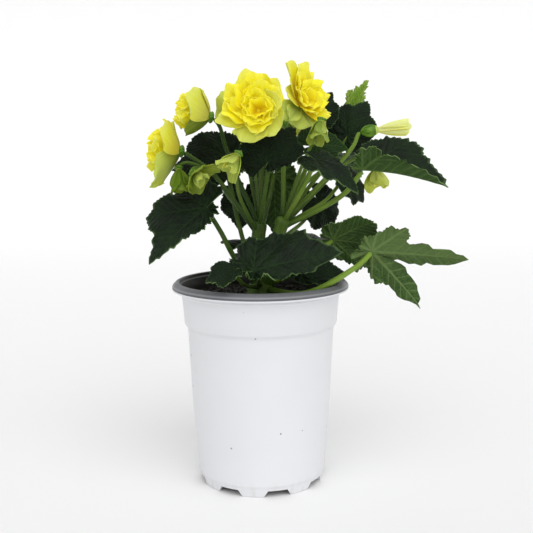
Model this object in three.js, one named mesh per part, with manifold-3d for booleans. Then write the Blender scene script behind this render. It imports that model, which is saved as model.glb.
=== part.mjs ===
// A tuberous begonia with double yellow flowers, growing in a tall white nursery pot.
// Units are millimetres and +Z is up. Plant and pot are laid out round the pot's own axis: X runs to the
// right of the usual front view, Y away from it, and Z up from the surface that the pot's feet stand on.
// At the end the whole group is shifted so that the origin lies under the middle of its bounding box.
import * as THREE from "three";
import { mergeVertices } from "three/addons/utils/BufferGeometryUtils.js";
import Module from "manifold-3d";

const wasm = await Module();
wasm.setup();

// Driving dimensions of the pot.
const RIM_RADIUS = 70;
const POT_HEIGHT = 161.6;
const WALL = 1.3;
const WALL_FOOT_RADIUS = 51.2;
const RIDGE_Z = 8;
const STEP_RADIUS = 58.4;
const STEP_Z = 125.4;
const BAND_RADIUS = 60.6;
const BAND_TOP_RADIUS = 62.6;
const BAND_TOP_Z = 151;
const POT_SIDES = 32;
const SOIL_SIDES = 24;
const FOOT_COUNT = 8;
const FOOT_BOTTOM_RADIUS = 49;
const FOOT_DEPTH = 3;
const FLOOR_Z = 6.5;
const FIRST_FOOT_DEG = -8;
const NOTCH_HEIGHT = 5.2;
const NOTCH_TOP_WIDTH = 15.5;
const NOTCH_BOTTOM_WIDTH = 22;
const DRAIN_RADIUS = 3.2;
const DRAIN_RING_RADIUS = 37;

// Driving dimensions of the soil and the crown that stands in it.
const SOIL_Z = 149;
const CROWN_RADIUS = 12;
const CROWN_FOOT_Z = 132;
const CLEAR = 0.3;

// Driving dimensions of the plant.
const BLADE_THICKNESS = 1;
const PETAL_THICKNESS = 0.9;
const PETAL_CELLS = [3, 2];
const INNER_PETAL_CELLS = [2, 2];
const VEIN_STEP = THREE.MathUtils.degToRad(38);
const SINUS_START = 4.5 * VEIN_STEP;
const LOBE_LENGTHS = [1, 0.76, 0.66, 0.58, 0.48, 0.36];
const BACK_BAYS = 0.4; // depth of the bays behind the first side lobes, against those in front

// Colours and finishes.
const PLASTIC = { color: 0xf2f2f4, roughness: 0.45 };
const PEAT = { color: 0x1b1410, roughness: 0.95 };
const GREENS = {
  leaf: { color: 0x1d3a20, roughness: 0.6 },
  young: { color: 0x6f9a3a, roughness: 0.6 },
  stem: { color: 0x5f8a35, roughness: 0.5 },
};
const YELLOWS = {
  bloom: { color: 0xf0e234, roughness: 0.65 },
  bud: { color: 0xc6d468, roughness: 0.65 },
};

const UPWARDS = new THREE.Vector3(0, 0, 1);
const vec = (p) => new THREE.Vector3(...p);

// Solids and meshes

function solidFrom(geometry) {
  const bare = geometry.index ? geometry.clone() : geometry;
  for (const name of Object.keys(bare.attributes)) {
    if (name !== "position") bare.deleteAttribute(name);
  }
  const merged = mergeVertices(bare, 1e-4);
  const shape = { numProp: 3, vertProperties: merged.attributes.position.array };
  return new wasm.Manifold(new wasm.Mesh({ ...shape, triVerts: new Uint32Array(merged.index.array) }));
}

function geometryFrom(solid) {
  const mesh = solid.getMesh();
  const geometry = new THREE.BufferGeometry();
  geometry.setAttribute("position", new THREE.BufferAttribute(mesh.vertProperties, 3));
  geometry.setIndex(new THREE.BufferAttribute(mesh.triVerts, 1));
  return geometry;
}

function largestBody(solid) {
  return solid.decompose().reduce((a, b) => (a.volume() > b.volume() ? a : b));
}

function fused(geometries) {
  return largestBody(geometries.map(solidFrom).reduce((whole, next) => whole.add(next)));
}

function meshOf(name, geometry, look) {
  const mesh = new THREE.Mesh(geometry, new THREE.MeshStandardMaterial({ metalness: 0, ...look }));
  mesh.name = name;
  return mesh;
}

// A closed body from points and triangles that share them.
function bodyOf(points, faces) {
  const geometry = new THREE.BufferGeometry().setFromPoints(points);
  geometry.setIndex(faces.flat());
  return geometry;
}

// A sheet of triangles given once, made into a closed body with a wall along its boundary loop.
// place(point, side) gives a point's place on the upper (+1) or under (-1) face.
function thickSheet(flat, faces, loop, place) {
  const count = flat.length;
  const points = [...flat.map((p) => place(p, 1)), ...flat.map((p) => place(p, -1))];
  const under = faces.map(([a, b, c]) => [a + count, c + count, b + count]);
  const wall = loop.flatMap((a, i) => {
    const b = loop[(i + 1) % loop.length];
    return [
      [a, a + count, b + count],
      [a, b + count, b],
    ];
  });
  return bodyOf(points, [...faces, ...under, ...wall]);
}

// A bend of a flat line into an arc: u runs along it and h stands on it. bend is in radians per mm.
function arc(u, h, bend) {
  if (Math.abs(bend) < 1e-6) return [u, h];
  const turn = u * bend;
  return [Math.sin(turn) / bend + h * Math.sin(turn), (Math.cos(turn) - 1) / bend + h * Math.cos(turn)];
}

// Axes of a leaf or petal: x along it, z out of its upper face.
function axesOf(along, up) {
  const x = vec(along).normalize();
  const y = vec(up).normalize().cross(x).normalize();
  return { x, y, z: x.clone().cross(y) };
}

// Leaves

// Length from the stalk to the leaf's edge, as a share of its full length, with one main vein at each
// VEIN_STEP and a shallow bay between every two.
function edgeReach(angle, leaf) {
  const k = Math.min(Math.abs(angle) / VEIN_STEP, LOBE_LENGTHS.length - 1.001);
  const low = Math.floor(k);
  const part = low === 0 ? 1 - (1 - k) ** 1.6 : k - low;
  const plain = LOBE_LENGTHS[low] + (LOBE_LENGTHS[low + 1] - LOBE_LENGTHS[low]) * part;
  const bay = 2 * Math.abs(k - Math.round(k));
  const half = angle > 0 ? 0 : 1;
  const behind = 1 - (1 - leaf.backs[half]) * THREE.MathUtils.clamp((k - 0.8) / 1.2, 0, 1);
  const tail = 1 - (1 - leaf.tail) * THREE.MathUtils.clamp(k - 2, 0, 1);
  const beside = 1 - (1 - leaf.halves[half]) * Math.min(1, k);
  const lobes = leaf.lobes[half] * (k < 1 ? 1 : BACK_BAYS);
  return plain * behind * tail * beside * (1 - lobes * bay);
}

const LEAF_DEFAULTS = {
  droop: 40, // degrees that the tip half bends down
  backDroop: 10, // degrees that the half behind the stalk bends down
  sides: 15, // degrees that each side bends down
  fold: [0, 0], // degrees that the left and right halves fold up along the midrib
  halves: [1, 1], // reach of the left and right side lobes
  backs: [1, 1], // reach of the left and right lobes behind the stalk
  lobes: [0.16, 0.16], // depth of the bays between lobes
  swing: [0, 0], // degrees that the side lobes are swung back
  tail: 1, // reach of the rearmost lobes
  teeth: 0.05, // depth of the teeth
  relief: 0.045, // height of the blade between veins against its length
  ruffle: 0.03, // height of the ruffles against its length
  waves: 5, // ruffles round the edge
  rings: 1, // rings of points between the stalk and the edge
};

// A point of the blade from its polar place: share runs from 0 at the stalk to 1 at the edge.
function bladePoint(leaf, angle, share, reach, side) {
  const r = share * reach * leaf.length;
  const swing = THREE.MathUtils.degToRad(leaf.swing[angle > 0 ? 0 : 1]) * Math.sign(angle);
  const swung = angle + swing * Math.min(1, Math.abs(angle) / VEIN_STEP);
  const x = r * Math.cos(swung);
  const y = r * Math.sin(swung);
  const between = (1 - Math.cos((2 * Math.PI * angle) / VEIN_STEP)) / 2;
  const wave = Math.sin(leaf.waves * angle);
  let h = leaf.length * share * (leaf.relief * between + leaf.ruffle * share * wave);
  h += (side * BLADE_THICKNESS) / 2;
  const fold = THREE.MathUtils.degToRad(leaf.fold[y > 0 ? 0 : 1]);
  const across = y * Math.cos(fold);
  h = h * Math.cos(fold) + Math.abs(y) * Math.sin(fold);
  const bendRate = (degrees) => THREE.MathUtils.degToRad(degrees) / leaf.length;
  const [yBent, hBent] = arc(across, h, bendRate(leaf.sides));
  const [xBent, zBent] = arc(x, hBent, bendRate(x > 0 ? leaf.droop : leaf.backDroop));
  const { x: ax, y: ay, z: az } = leaf.axes;
  return vec(leaf.joint).addScaledVector(ax, xBent).addScaledVector(ay, yBent).addScaledVector(az, zBent);
}

function withDefaults(spec) {
  const leaf = { ...LEAF_DEFAULTS, ...spec };
  leaf.axes = axesOf(leaf.along, leaf.up);
  return leaf;
}

// The blade: rings of points round the stalk, the outermost with a tooth at each second point.
function bladeGeometry(leaf) {
  const outerCount = Math.round((4 * SINUS_START) / VEIN_STEP) * 2;
  const innerCount = outerCount / 2;
  const angleAt = (i, count) => -SINUS_START + (2 * SINUS_START * i) / count;
  const flat = [{ angle: 0, share: 0, reach: 0 }];
  for (let ring = 1; ring <= leaf.rings; ring += 1) {
    for (let i = 0; i <= innerCount; i += 1) {
      const angle = angleAt(i, innerCount);
      flat.push({ angle, share: ring / (leaf.rings + 1), reach: edgeReach(angle, leaf) });
    }
  }
  const outer = flat.length;
  for (let i = 0; i <= outerCount; i += 1) {
    const angle = angleAt(i, outerCount);
    const tooth = 1 + (i % 2 ? -leaf.teeth : leaf.teeth * 0.6);
    flat.push({ angle, share: 1, reach: edgeReach(angle, leaf) * tooth });
  }
  const ringStart = (ring) => 1 + (ring - 1) * (innerCount + 1);
  const faces = [];
  for (let i = 0; i < innerCount; i += 1) {
    faces.push([0, ringStart(1) + i, ringStart(1) + i + 1]);
    for (let ring = 1; ring < leaf.rings; ring += 1) {
      const [a, b] = [ringStart(ring) + i, ringStart(ring + 1) + i];
      faces.push([a, b, b + 1], [a, b + 1, a + 1]);
    }
    const [a, b] = [ringStart(leaf.rings) + i, outer + 2 * i];
    faces.push([a, b, b + 1], [a, b + 1, a + 1], [a + 1, b + 1, b + 2]);
  }
  const rings = Array.from({ length: leaf.rings }, (_, ring) => ringStart(ring + 1));
  const edge = Array.from({ length: outerCount + 1 }, (_, i) => outer + i);
  const loop = [0, ...rings, ...edge, ...rings.reverse().map((start) => start + innerCount)];
  const place = (p, side) => bladePoint(leaf, p.angle, p.share, p.reach, side);
  return thickSheet(flat, faces, loop, place);
}

// Stalks

// Radii where a leaf stalk or a flower stalk leaves its root and where it ends.
const PETIOLE_RADII = [2.5, 1.8];
const PEDUNCLE_RADII = [2.1, 1.5];
const PEDUNCLE_SIDES = 4;
const FULL_BLOOM_RADIUS = 25; // flowers smaller than this have thinner stalks

// The axes of the crown and of the two main stems that fork from it.
const MAIN_STEMS = {
  crown: [[0, 0, CROWN_FOOT_Z], [0, 0, SOIL_Z + 12]],
  left: [[-2, 0, SOIL_Z], [-3, 0, 178], [0, 0, 210]],
  right: [[4, 0, SOIL_Z], [10, -2, 180], [19, -3, 213]],
};

const curveThrough = (points) => new THREE.CatmullRomCurve3(points.map(vec), false, "centripetal");

// A round stalk along a smooth curve, tapering from one radius to the other, closed at both ends.
function stalk(points, startRadius, endRadius, sides = 5, steps = points.length + 1) {
  const curve = curveThrough(points);
  const frames = curve.computeFrenetFrames(steps, false);
  const rings = [];
  for (let i = 0; i <= steps; i += 1) {
    const centre = curve.getPointAt(i / steps);
    const radius = THREE.MathUtils.lerp(startRadius, endRadius, i / steps);
    for (let j = 0; j < sides; j += 1) {
      const turn = (2 * Math.PI * j) / sides;
      const out = frames.normals[i].clone().multiplyScalar(Math.cos(turn));
      out.addScaledVector(frames.binormals[i], Math.sin(turn));
      rings.push(centre.clone().addScaledVector(out, radius));
    }
  }
  const faces = [];
  for (let i = 0; i < steps; i += 1) {
    for (let j = 0; j < sides; j += 1) {
      const next = (j + 1) % sides;
      const [a, b, c, d] = [i * sides + j, i * sides + next, (i + 1) * sides + next, (i + 1) * sides + j];
      faces.push([a, b, c], [a, c, d]);
    }
  }
  const last = steps * sides;
  for (let j = 1; j < sides - 1; j += 1) {
    faces.push([0, j + 1, j], [last, last + j, last + j + 1]);
  }
  return bodyOf(rings, faces);
}

// Where a stalk ends so that its flat top stays clear of the blade or flower over it.
function stalkEnd(joint, arriving, out, radius, thickness) {
  const tilt = Math.sqrt(Math.max(0, 1 - arriving.dot(out) ** 2));
  return vec(joint).addScaledVector(out, -(thickness / 2 + CLEAR + radius * tilt));
}

// The points of a stalk that leaves its root, passes the given places and comes in under a joint.
function stalkRoute({ root, via = [] }, joint, out, radius, thickness) {
  const start = rootPoint(root);
  const last = vec(via.at(-1) ?? start);
  const arriving = vec(joint).sub(last).normalize().addScaledVector(out, 0.45).normalize();
  const end = stalkEnd(joint, arriving, out, radius, thickness);
  const run = end.distanceTo(last);
  const before = end.clone().addScaledVector(arriving, -0.3 * run);
  return [start, ...via, before.toArray(), end.toArray()];
}

// Flowers

const BLOOM_DEFAULTS = { thickness: PETAL_THICKNESS, core: 0.2, case: 0.9, taper: 0.7, twist: 0.1 };
const CASE_SUNK = 0.15; // part of the seed case that the stalk runs into, against the core's radius
const PETAL_ROOT = 0.05; // distance of a petal's root from the flower's axis, against its radius
const SEAT_RISE = 0.12; // how much higher an upright petal sits than a flat one, against the radius
const PETAL_CORNER = 0.36; // how far the corners of a petal's tip are rounded off
const PETAL_WAVE = 4.4; // turn of the ruffle across half a petal, in radians
const INNER_RISE = 28; // petals steeper than this, in degrees, have the fewer cells

// One petal in the bloom's own axes: along is +x, up the bloom's axis is +z.
// rise is the angle at its root and fall the angle that it has turned outwards at its tip, in degrees.
function petalPoint(petal, across, along, side) {
  const { length, width, rise, fall, cup, root } = petal;
  const startAngle = THREE.MathUtils.degToRad(rise);
  const rate = THREE.MathUtils.degToRad(fall) / length;
  const s = along * length;
  const half = (width / 2) * Math.sin(Math.PI * (0.04 + petal.taper * along ** 0.9)) ** 0.8;
  const y = across * half;
  const wave = petal.ruffle * length * along * along * Math.sin(PETAL_WAVE * across + petal.phase);
  const h = (cup * y * y) / width + petal.twist * y + wave + (side * petal.thickness) / 2;
  const [u, w] = arc(s, h, rate);
  const c = Math.cos(startAngle);
  const d = Math.sin(startAngle);
  const radial = root + u * c - w * d;
  const z = u * d + w * c + petal.seat;
  return new THREE.Vector3(radial, y, z).applyAxisAngle(UPWARDS, petal.azimuth);
}

function petalGeometry(petal) {
  const [nx, ny] = petal.rise > INNER_RISE ? INNER_PETAL_CELLS : PETAL_CELLS;
  const flat = [];
  for (let j = 0; j <= ny; j += 1) {
    for (let i = 0; i <= nx; i += 1) {
      const across = (2 * i) / nx - 1;
      const along = j / ny;
      const tip = 1 - PETAL_CORNER * Math.abs(across) ** 2.6 * along ** 2;
      flat.push({ across, along: along * tip });
    }
  }
  const at = (i, j) => j * (nx + 1) + i;
  const faces = [];
  for (let j = 0; j < ny; j += 1) {
    for (let i = 0; i < nx; i += 1) {
      faces.push([at(i, j), at(i, j + 1), at(i + 1, j)], [at(i + 1, j), at(i, j + 1), at(i + 1, j + 1)]);
    }
  }
  const loop = [];
  for (let j = 0; j <= ny; j += 1) loop.push(at(0, j));
  for (let i = 1; i <= nx; i += 1) loop.push(at(i, ny));
  for (let j = ny - 1; j >= 0; j -= 1) loop.push(at(nx, j));
  for (let i = nx - 1; i > 0; i -= 1) loop.push(at(i, 0));
  return thickSheet(flat, faces, loop, (p, side) => petalPoint(petal, p.across, p.along, side));
}

// A ring of like petals, the first of them at that many degrees round the flower.
const ringOf = (count, first, ...shape) =>
  Array.from({ length: count }, (_, i) => [first + (360 * i) / count, ...shape]);

// Each petal: its place round the flower in degrees, 0 to the right and 90 at the top for someone who
// looks into the flower; its length and width against the flower's radius; the angle at which it leaves
// the flower and how far it then bends outwards, in degrees; its cup; its ruffle.
const FRONT_PETALS = [
  [244, 0.96, 1.15, 8, 22, 0.3, 0.08],
  [306, 0.86, 1.1, 12, 18, 0.3, 0.08],
  [197, 1.25, 0.8, 8, 10, 0.3, 0.07],
  [12, 0.8, 0.95, 40, 0, 0.5, 0.07],
  [110, 1.15, 1.25, 12, 10, 0.3, 0.11],
  [60, 1, 1, 22, 8, 0.4, 0.11],
  [150, 1.1, 1.05, 18, 14, 0.4, 0.13],
  [93, 0.98, 1.1, 40, 12, 0.5, 0.15],
  [170, 0.84, 0.86, 36, 20, 0.5, 0.16],
  [250, 0.66, 0.85, 38, 20, 0.5, 0.15],
  ...ringOf(2, 20, 0.58, 0.8, 62, 14, 0.7, 0.12),
];
const RIGHT_PETALS = [
  [115, 1.2, 0.9, 22, -6, 0.5, 0.06],
  [86, 1.08, 0.85, 30, -4, 0.5, 0.06],
  [240, 0.7, 1, 6, 50, 0.4, 0.08],
  [200, 0.8, 0.7, 0, 44, 0.4, 0.08],
  [312, 1.1, 0.8, 4, 24, 0.5, 0.06],
  [30, 1, 1, 16, 16, 0.4, 0.09],
  [345, 1, 0.95, 14, 20, 0.4, 0.1],
  [60, 0.96, 0.95, 28, 14, 0.4, 0.09],
  [350, 0.84, 0.95, 38, 20, 0.5, 0.12],
  [112, 0.86, 0.8, 44, 8, 0.5, 0.1],
  [275, 0.56, 0.8, 44, 20, 0.6, 0.12],
  ...ringOf(2, 50, 0.58, 0.76, 62, 18, 0.7, 0.12),
];
const LEFT_PETALS = [
  [50, 1.1, 1.3, 18, -22, 0.5, 0.04],
  [304, 1.4, 1.2, 22, 0, 0.5, 0.05],
  [125, 1, 1, 26, 0, 0.5, 0.04],
  [235, 1.15, 1, 34, 4, 0.5, 0.05],
  ...ringOf(4, 20, 0.92, 0.8, 62, 2, 0.6, 0.1),
];
const LEFT_UP_PETALS = [
  [50, 1.04, 1.65, 18, -48, 0.5, 0.03],
  [292, 0.92, 1, 30, -20, 0.6, 0.04],
  [120, 1, 1, 24, -20, 0.5, 0.04],
  [215, 0.9, 0.95, 34, -6, 0.5, 0.04],
  ...ringOf(3, 30, 0.95, 0.85, 66, 3, 0.6, 0.1),
];
const OPENING_PETALS = [
  ...ringOf(4, 45, 1, 1.02, 34, 20, 0.6, 0.04),
  ...ringOf(3, 0, 0.82, 0.8, 58, 14, 0.6, 0.08),
];
const RAGGED_PETALS = [
  [20, 1, 1.05, 24, 10, 0.5, 0.08],
  [110, 0.6, 0.8, 30, 4, 0.6, 0.08],
  [300, 0.9, 0.9, 30, 6, 0.6, 0.08],
  [210, 0.7, 0.7, 36, 4, 0.6, 0.08],
];
const DROOPING_PETALS = [
  [80, 1, 0.95, 56, -6, 0.7, 0.05],
  [260, 1.05, 1, 52, -6, 0.7, 0.05],
  [170, 0.9, 0.8, 60, -4, 0.8, 0.06],
];
const NARROW_PETALS = [...ringOf(2, 10, 0.98, 0.86, 64, -8, 0.9, 0.03), [95, 0.94, 0.76, 67, -8, 0.9, 0.04]];
const SLIM_PETALS = [...ringOf(2, 170, 1, 0.46, 81, -2, 0.5, 0.02), [80, 0.94, 0.4, 83, -3, 0.5, 0.02]];

function petalsOf(bloom) {
  return bloom.petals.map(([around, length, width, rise, fall, cup, ruffle], i) => ({
    ...BLOOM_DEFAULTS,
    length: length * bloom.radius,
    width: width * bloom.radius,
    rise,
    fall,
    cup,
    ruffle,
    taper: bloom.taper ?? BLOOM_DEFAULTS.taper,
    seat: (rise / 90 - 0.5) * SEAT_RISE * bloom.radius,
    root: PETAL_ROOT * bloom.radius,
    azimuth: THREE.MathUtils.degToRad(around),
    phase: 1.7 * i,
  }));
}

// How far a flower's core reaches behind its middle, against the core's radius: the length of the seed
// case, less the part of it that the stalk runs into.
const coreBehind = (bloom) => (bloom.case ?? BLOOM_DEFAULTS.case) - CASE_SUNK;

// The axes of a flower: x to the right and y up for someone who looks into it, z the way it faces.
function flowerAxes(bloom) {
  const z = vec(bloom.facing).normalize();
  const x = UPWARDS.clone().cross(z).normalize();
  return new THREE.Matrix4().makeBasis(x, z.clone().cross(x), z);
}

// The bloom stands on its core, a knob that reaches back along the seed case behind it.
function bloomGeometry(bloom) {
  const radius = BLOOM_DEFAULTS.core * bloom.radius;
  const behind = coreBehind(bloom);
  const profile = [
    [0, -behind],
    [0.62, -behind + 0.05],
    [1, -(behind - 0.75) / 2],
    [0.7, 0.6],
    [0, 0.7],
  ].map(([r, z]) => new THREE.Vector2(r * radius, z * radius));
  const core = new THREE.LatheGeometry(profile, 6).rotateX(Math.PI / 2);
  const solid = fused([core, ...petalsOf(bloom).map((petal) => petalGeometry(petal))]);
  return geometryFrom(solid).applyMatrix4(flowerAxes(bloom)).translate(...bloom.centre);
}

// The pot

const turnedProfile = (points, sides) =>
  new THREE.LatheGeometry(
    points.map(([r, z]) => new THREE.Vector2(r, z)),
    sides,
  ).rotateX(Math.PI / 2);

function potGeometry() {
  const outside = [
    [FOOT_BOTTOM_RADIUS - FOOT_DEPTH, 0],
    [FOOT_BOTTOM_RADIUS, 0],
    [WALL_FOOT_RADIUS - 0.8, RIDGE_Z],
    [WALL_FOOT_RADIUS, RIDGE_Z + 1],
    [(WALL_FOOT_RADIUS + STEP_RADIUS) / 2 + 0.4, (RIDGE_Z + STEP_Z) / 2],
    [STEP_RADIUS, STEP_Z],
    [BAND_RADIUS, STEP_Z + 2.6],
    [BAND_TOP_RADIUS, BAND_TOP_Z],
    [BAND_TOP_RADIUS + 1.2, BAND_TOP_Z + 1.6],
    [BAND_TOP_RADIUS + 0.8, BAND_TOP_Z + 3.8],
    [RIM_RADIUS - 1, BAND_TOP_Z + 4],
    [RIM_RADIUS, BAND_TOP_Z + 5],
    [RIM_RADIUS, POT_HEIGHT - 3.2],
    [RIM_RADIUS - 3.4, POT_HEIGHT],
    [RIM_RADIUS - 5.4, POT_HEIGHT - 0.6],
  ];
  const inside = [
    [BAND_TOP_RADIUS - WALL, BAND_TOP_Z],
    [BAND_RADIUS - WALL, STEP_Z + 3],
    [STEP_RADIUS - WALL, STEP_Z + 0.6],
    [WALL_FOOT_RADIUS - WALL, RIDGE_Z + 2],
    [WALL_FOOT_RADIUS - 2 * WALL, FLOOR_Z + WALL],
  ];
  const floor = [
    [0, FLOOR_Z + WALL],
    [0, FLOOR_Z],
    [FOOT_BOTTOM_RADIUS - FOOT_DEPTH - 0.6, FLOOR_Z],
    [FOOT_BOTTOM_RADIUS - FOOT_DEPTH, 0],
  ];
  let pot = solidFrom(turnedProfile([...outside, ...inside, ...floor], POT_SIDES));
  const notch = new THREE.Shape(
    [
      [-NOTCH_BOTTOM_WIDTH / 2 - 0.4, -1],
      [NOTCH_BOTTOM_WIDTH / 2 + 0.4, -1],
      [NOTCH_TOP_WIDTH / 2, NOTCH_HEIGHT],
      [-NOTCH_TOP_WIDTH / 2, NOTCH_HEIGHT],
    ].map(([x, z]) => new THREE.Vector2(x, z)),
  );
  for (let i = 0; i < FOOT_COUNT; i += 1) {
    const turn = THREE.MathUtils.degToRad(FIRST_FOOT_DEG + (360 / FOOT_COUNT) * (i + 0.5));
    const cut = new THREE.ExtrudeGeometry(notch, { depth: 14, bevelEnabled: false });
    cut.rotateX(Math.PI / 2).translate(0, -FOOT_BOTTOM_RADIUS + 7, 0).rotateZ(turn);
    pot = pot.subtract(solidFrom(cut));
    const drain = new THREE.CylinderGeometry(DRAIN_RADIUS, DRAIN_RADIUS, 6, 6).rotateX(Math.PI / 2);
    drain.translate(0, -DRAIN_RING_RADIUS, FLOOR_Z).rotateZ(turn);
    pot = pot.subtract(solidFrom(drain));
  }
  return geometryFrom(pot);
}

// The soil fills the pot to a little under its rim, with a plain hole for the crown.
function soilGeometry() {
  const hole = CROWN_RADIUS + CLEAR;
  const inset = WALL + 2 * CLEAR;
  const profile = [
    [0, FLOOR_Z + WALL + CLEAR],
    [WALL_FOOT_RADIUS - inset - 2, FLOOR_Z + WALL + CLEAR],
    [WALL_FOOT_RADIUS - inset, RIDGE_Z + 6],
    [STEP_RADIUS - inset, STEP_Z],
    [BAND_RADIUS - inset - 0.2, STEP_Z + 3.8],
    [BAND_TOP_RADIUS - inset - 0.4, SOIL_Z],
    [46, SOIL_Z + 1.5],
    [30, SOIL_Z + 0.5],
    [hole, SOIL_Z + 1],
    [hole, CROWN_FOOT_Z - CLEAR],
    [0, CROWN_FOOT_Z - CLEAR],
  ];
  const soil = turnedProfile(profile, SOIL_SIDES);
  const position = soil.getAttribute("position");
  for (let i = 0; i < position.count; i += 1) {
    const [x, y, z] = [position.getX(i), position.getY(i), position.getZ(i)];
    const open = Math.hypot(x, y) > hole + 1 && Math.hypot(x, y) < 55;
    if (z > SOIL_Z - 1 && open) position.setZ(i, z + 1.2 * Math.sin(0.21 * x + 1) * Math.cos(0.17 * y));
  }
  return soil;
}

// The plant's leaves. joint is where the stalk meets the blade, along the way to the tip, up the way
// that the upper face looks. root names what the stalk grows from, and the height where it leaves it.
const LEAVES = {
  leaf_left_low: {
    joint: [-41, -15, 220],
    along: [-0.8, -0.15, -0.57],
    up: [-0.25, -0.8, 0.55],
    length: 62,
    droop: 25,
    halves: [0.44, 1.25],
    backs: [0.66, 0.6],
    lobes: [0.2, 0.2],
    root: ["crown", 154],
    via: [[-19.5, -9, 180], [-30, -12.5, 201]],
  },
  leaf_left_up: {
    joint: [-28, 18, 260],
    along: [-0.97, -0.1, -0.1],
    up: [-0.05, -0.85, 0.5],
    length: 47,
    backs: [0.8, 0.8],
    root: ["crown", 158],
    via: [[-12, 3, 188], [-22, 9, 230]],
  },
  leaf_left_back: {
    joint: [-14, 43, 226],
    along: [-0.2, 0.12, -0.97],
    up: [-0.12, -0.98, -0.1],
    length: 34,
    backs: [0.8, 0.8],
    root: ["left", 200],
    via: [[3, 51, 216]],
  },
  leaf_centre_up: {
    joint: [7, -38, 256],
    along: [0.6, 0, 0.8],
    up: [-0.05, -0.97, 0.1],
    length: 34.5,
    backDroop: 70,
    halves: [1.05, 1.2],
    backs: [1.15, 0.35],
    root: ["left", 200],
  },
  leaf_centre_right: {
    joint: [42, -28, 257],
    along: [0.8, -0.42, -0.3],
    up: [0.2, -0.45, 0.86],
    length: 42,
    halves: [0.8, 0.8],
    backs: [0.8, 0.8],
    root: ["right", 204],
  },
  leaf_right_mid: {
    joint: [43, 2, 267],
    along: [0.95, 0.16, 0.12],
    up: [-0.05, -0.78, 0.62],
    length: 31,
    halves: [1, 0.85],
    backs: [1.05, 0.85],
    root: ["right", 209],
  },
  leaf_right_up: {
    joint: [72, 34, 275],
    along: [0.5, 0, 0.86],
    up: [-0.1, -0.97, 0.1],
    length: 36,
    backs: [0.8, 0.8],
    root: ["right", 210],
  },
  leaf_young: {
    joint: [76, 54, 296],
    along: [0.45, 0.05, 0.88],
    up: [-0.3, -0.93, 0.1],
    length: 32,
    fold: [35, 35],
    halves: [0.66, 0.66],
    backs: [0.3, 0.3],
    lobes: [0.36, 0.36],
    teeth: 0.14,
    root: ["right", 208],
    via: [[51, 46, 260]],
    look: "young",
  },
  leaf_behind_bloom: {
    joint: [48, 30, 291],
    along: [0.4, 0.1, 0.9],
    up: [-0.2, -0.85, 0.4],
    length: 25,
    root: ["right", 210],
  },
  leaf_right_big: {
    joint: [80, -6, 248],
    along: [0.94, -0.3, -0.02],
    up: [0, 0.1, 0.99],
    length: 67,
    droop: 20,
    sides: 6,
    fold: [62, 48],
    halves: [0.93, 0.46],
    backs: [0.7, 1.1],
    swing: [-8, -8],
    tail: 0.45,
    root: ["right", 203],
  },
  leaf_right_low: {
    joint: [86, -22, 186],
    along: [0.99, -0.02, -0.03],
    up: [0.02, 0.93, 0.37],
    length: 73.5,
    droop: 14,
    fold: [0, 50],
    halves: [1.2, 0.66],
    backs: [0.4, 0.5],
    lobes: [0.76, 0.5],
    swing: [9, 0],
    root: ["crown", 155],
    via: [[36, -33, 156.5]],
  },
  leaf_right_low_back: {
    joint: [58, 2, 193],
    along: [0.97, 0.16, -0.06],
    up: [0, 0.9, 0.4],
    length: 46,
    halves: [1, 1.15],
    backs: [0.5, 0.5],
    root: ["right", 176],
    via: [[33, -2, 185]],
  },
  leaf_front: {
    joint: [-4.5, -50, 176],
    along: [0.95, -0.05, 0.28],
    up: [-0.05, -0.72, 0.69],
    length: 67,
    droop: 16,
    halves: [1, 0.38],
    backs: [0.66, 0.5],
    ruffle: 0.06,
    root: ["crown", 157],
  },
  leaf_front_small: {
    joint: [-18, -57, 178],
    along: [-0.8, -0.3, -0.1],
    up: [-0.25, -0.7, 0.66],
    length: 24,
    halves: [1.1, 1.1],
    backs: [0.45, 0.45],
    root: ["crown", 155],
    via: [[-13, -45, 166]],
  },
  leaf_inside_right: {
    joint: [31, -12, 171],
    along: [0.97, 0.05, 0.08],
    up: [-0.06, -0.8, 0.6],
    length: 39,
    halves: [0.66, 0.8],
    backs: [0.6, 0.6],
    root: ["crown", 157],
  },
  leaf_right_inner: {
    joint: [47, 38, 223],
    along: [0.55, 0.05, -0.83],
    up: [0.3, -0.85, 0.4],
    length: 35,
    backs: [0.8, 0.8],
    root: ["right", 192],
    via: [[38, 40, 207]],
  },
  leaf_right_under: {
    joint: [69, 19, 241],
    along: [0.78, 0.15, -0.58],
    up: [0.35, -0.7, 0.6],
    length: 28,
    halves: [1.1, 1.15],
    backs: [0.7, 0.7],
    root: ["right", 204],
    via: [[54, 20, 224]],
  },
  leaf_back_left: {
    joint: [-36, 50, 251],
    along: [-0.62, 0.74, 0.1],
    up: [-0.2, 0.35, 0.9],
    length: 50,
    droop: 62,
    root: ["left", 202],
  },
  leaf_back_centre: {
    joint: [12, 58, 243],
    along: [0.03, 0.2, -0.97],
    up: [0, 0.97, 0.24],
    length: 52,
    droop: 20,
    backs: [0.6, 0.6],
    root: ["left", 190],
  },
  leaf_back_right: {
    joint: [58, 70, 258],
    along: [0.7, 0.68, 0.1],
    up: [0.2, 0.3, 0.9],
    length: 50,
    droop: 60,
    backs: [0.8, 0.8],
    root: ["right", 201],
    via: [[34, 42, 232]],
  },
  leaf_back_low: {
    joint: [-2, 56, 186],
    along: [-0.1, 0.98, 0.12],
    up: [0, 0.3, 0.95],
    length: 48,
    droop: 60,
    root: ["crown", 157],
  },
  leaf_back_low_right: {
    joint: [48, 50, 186],
    along: [0.8, 0.6, 0.05],
    up: [0, -0.3, 0.95],
    length: 50,
    droop: 55,
    root: ["crown", 158],
  },
};

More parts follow.
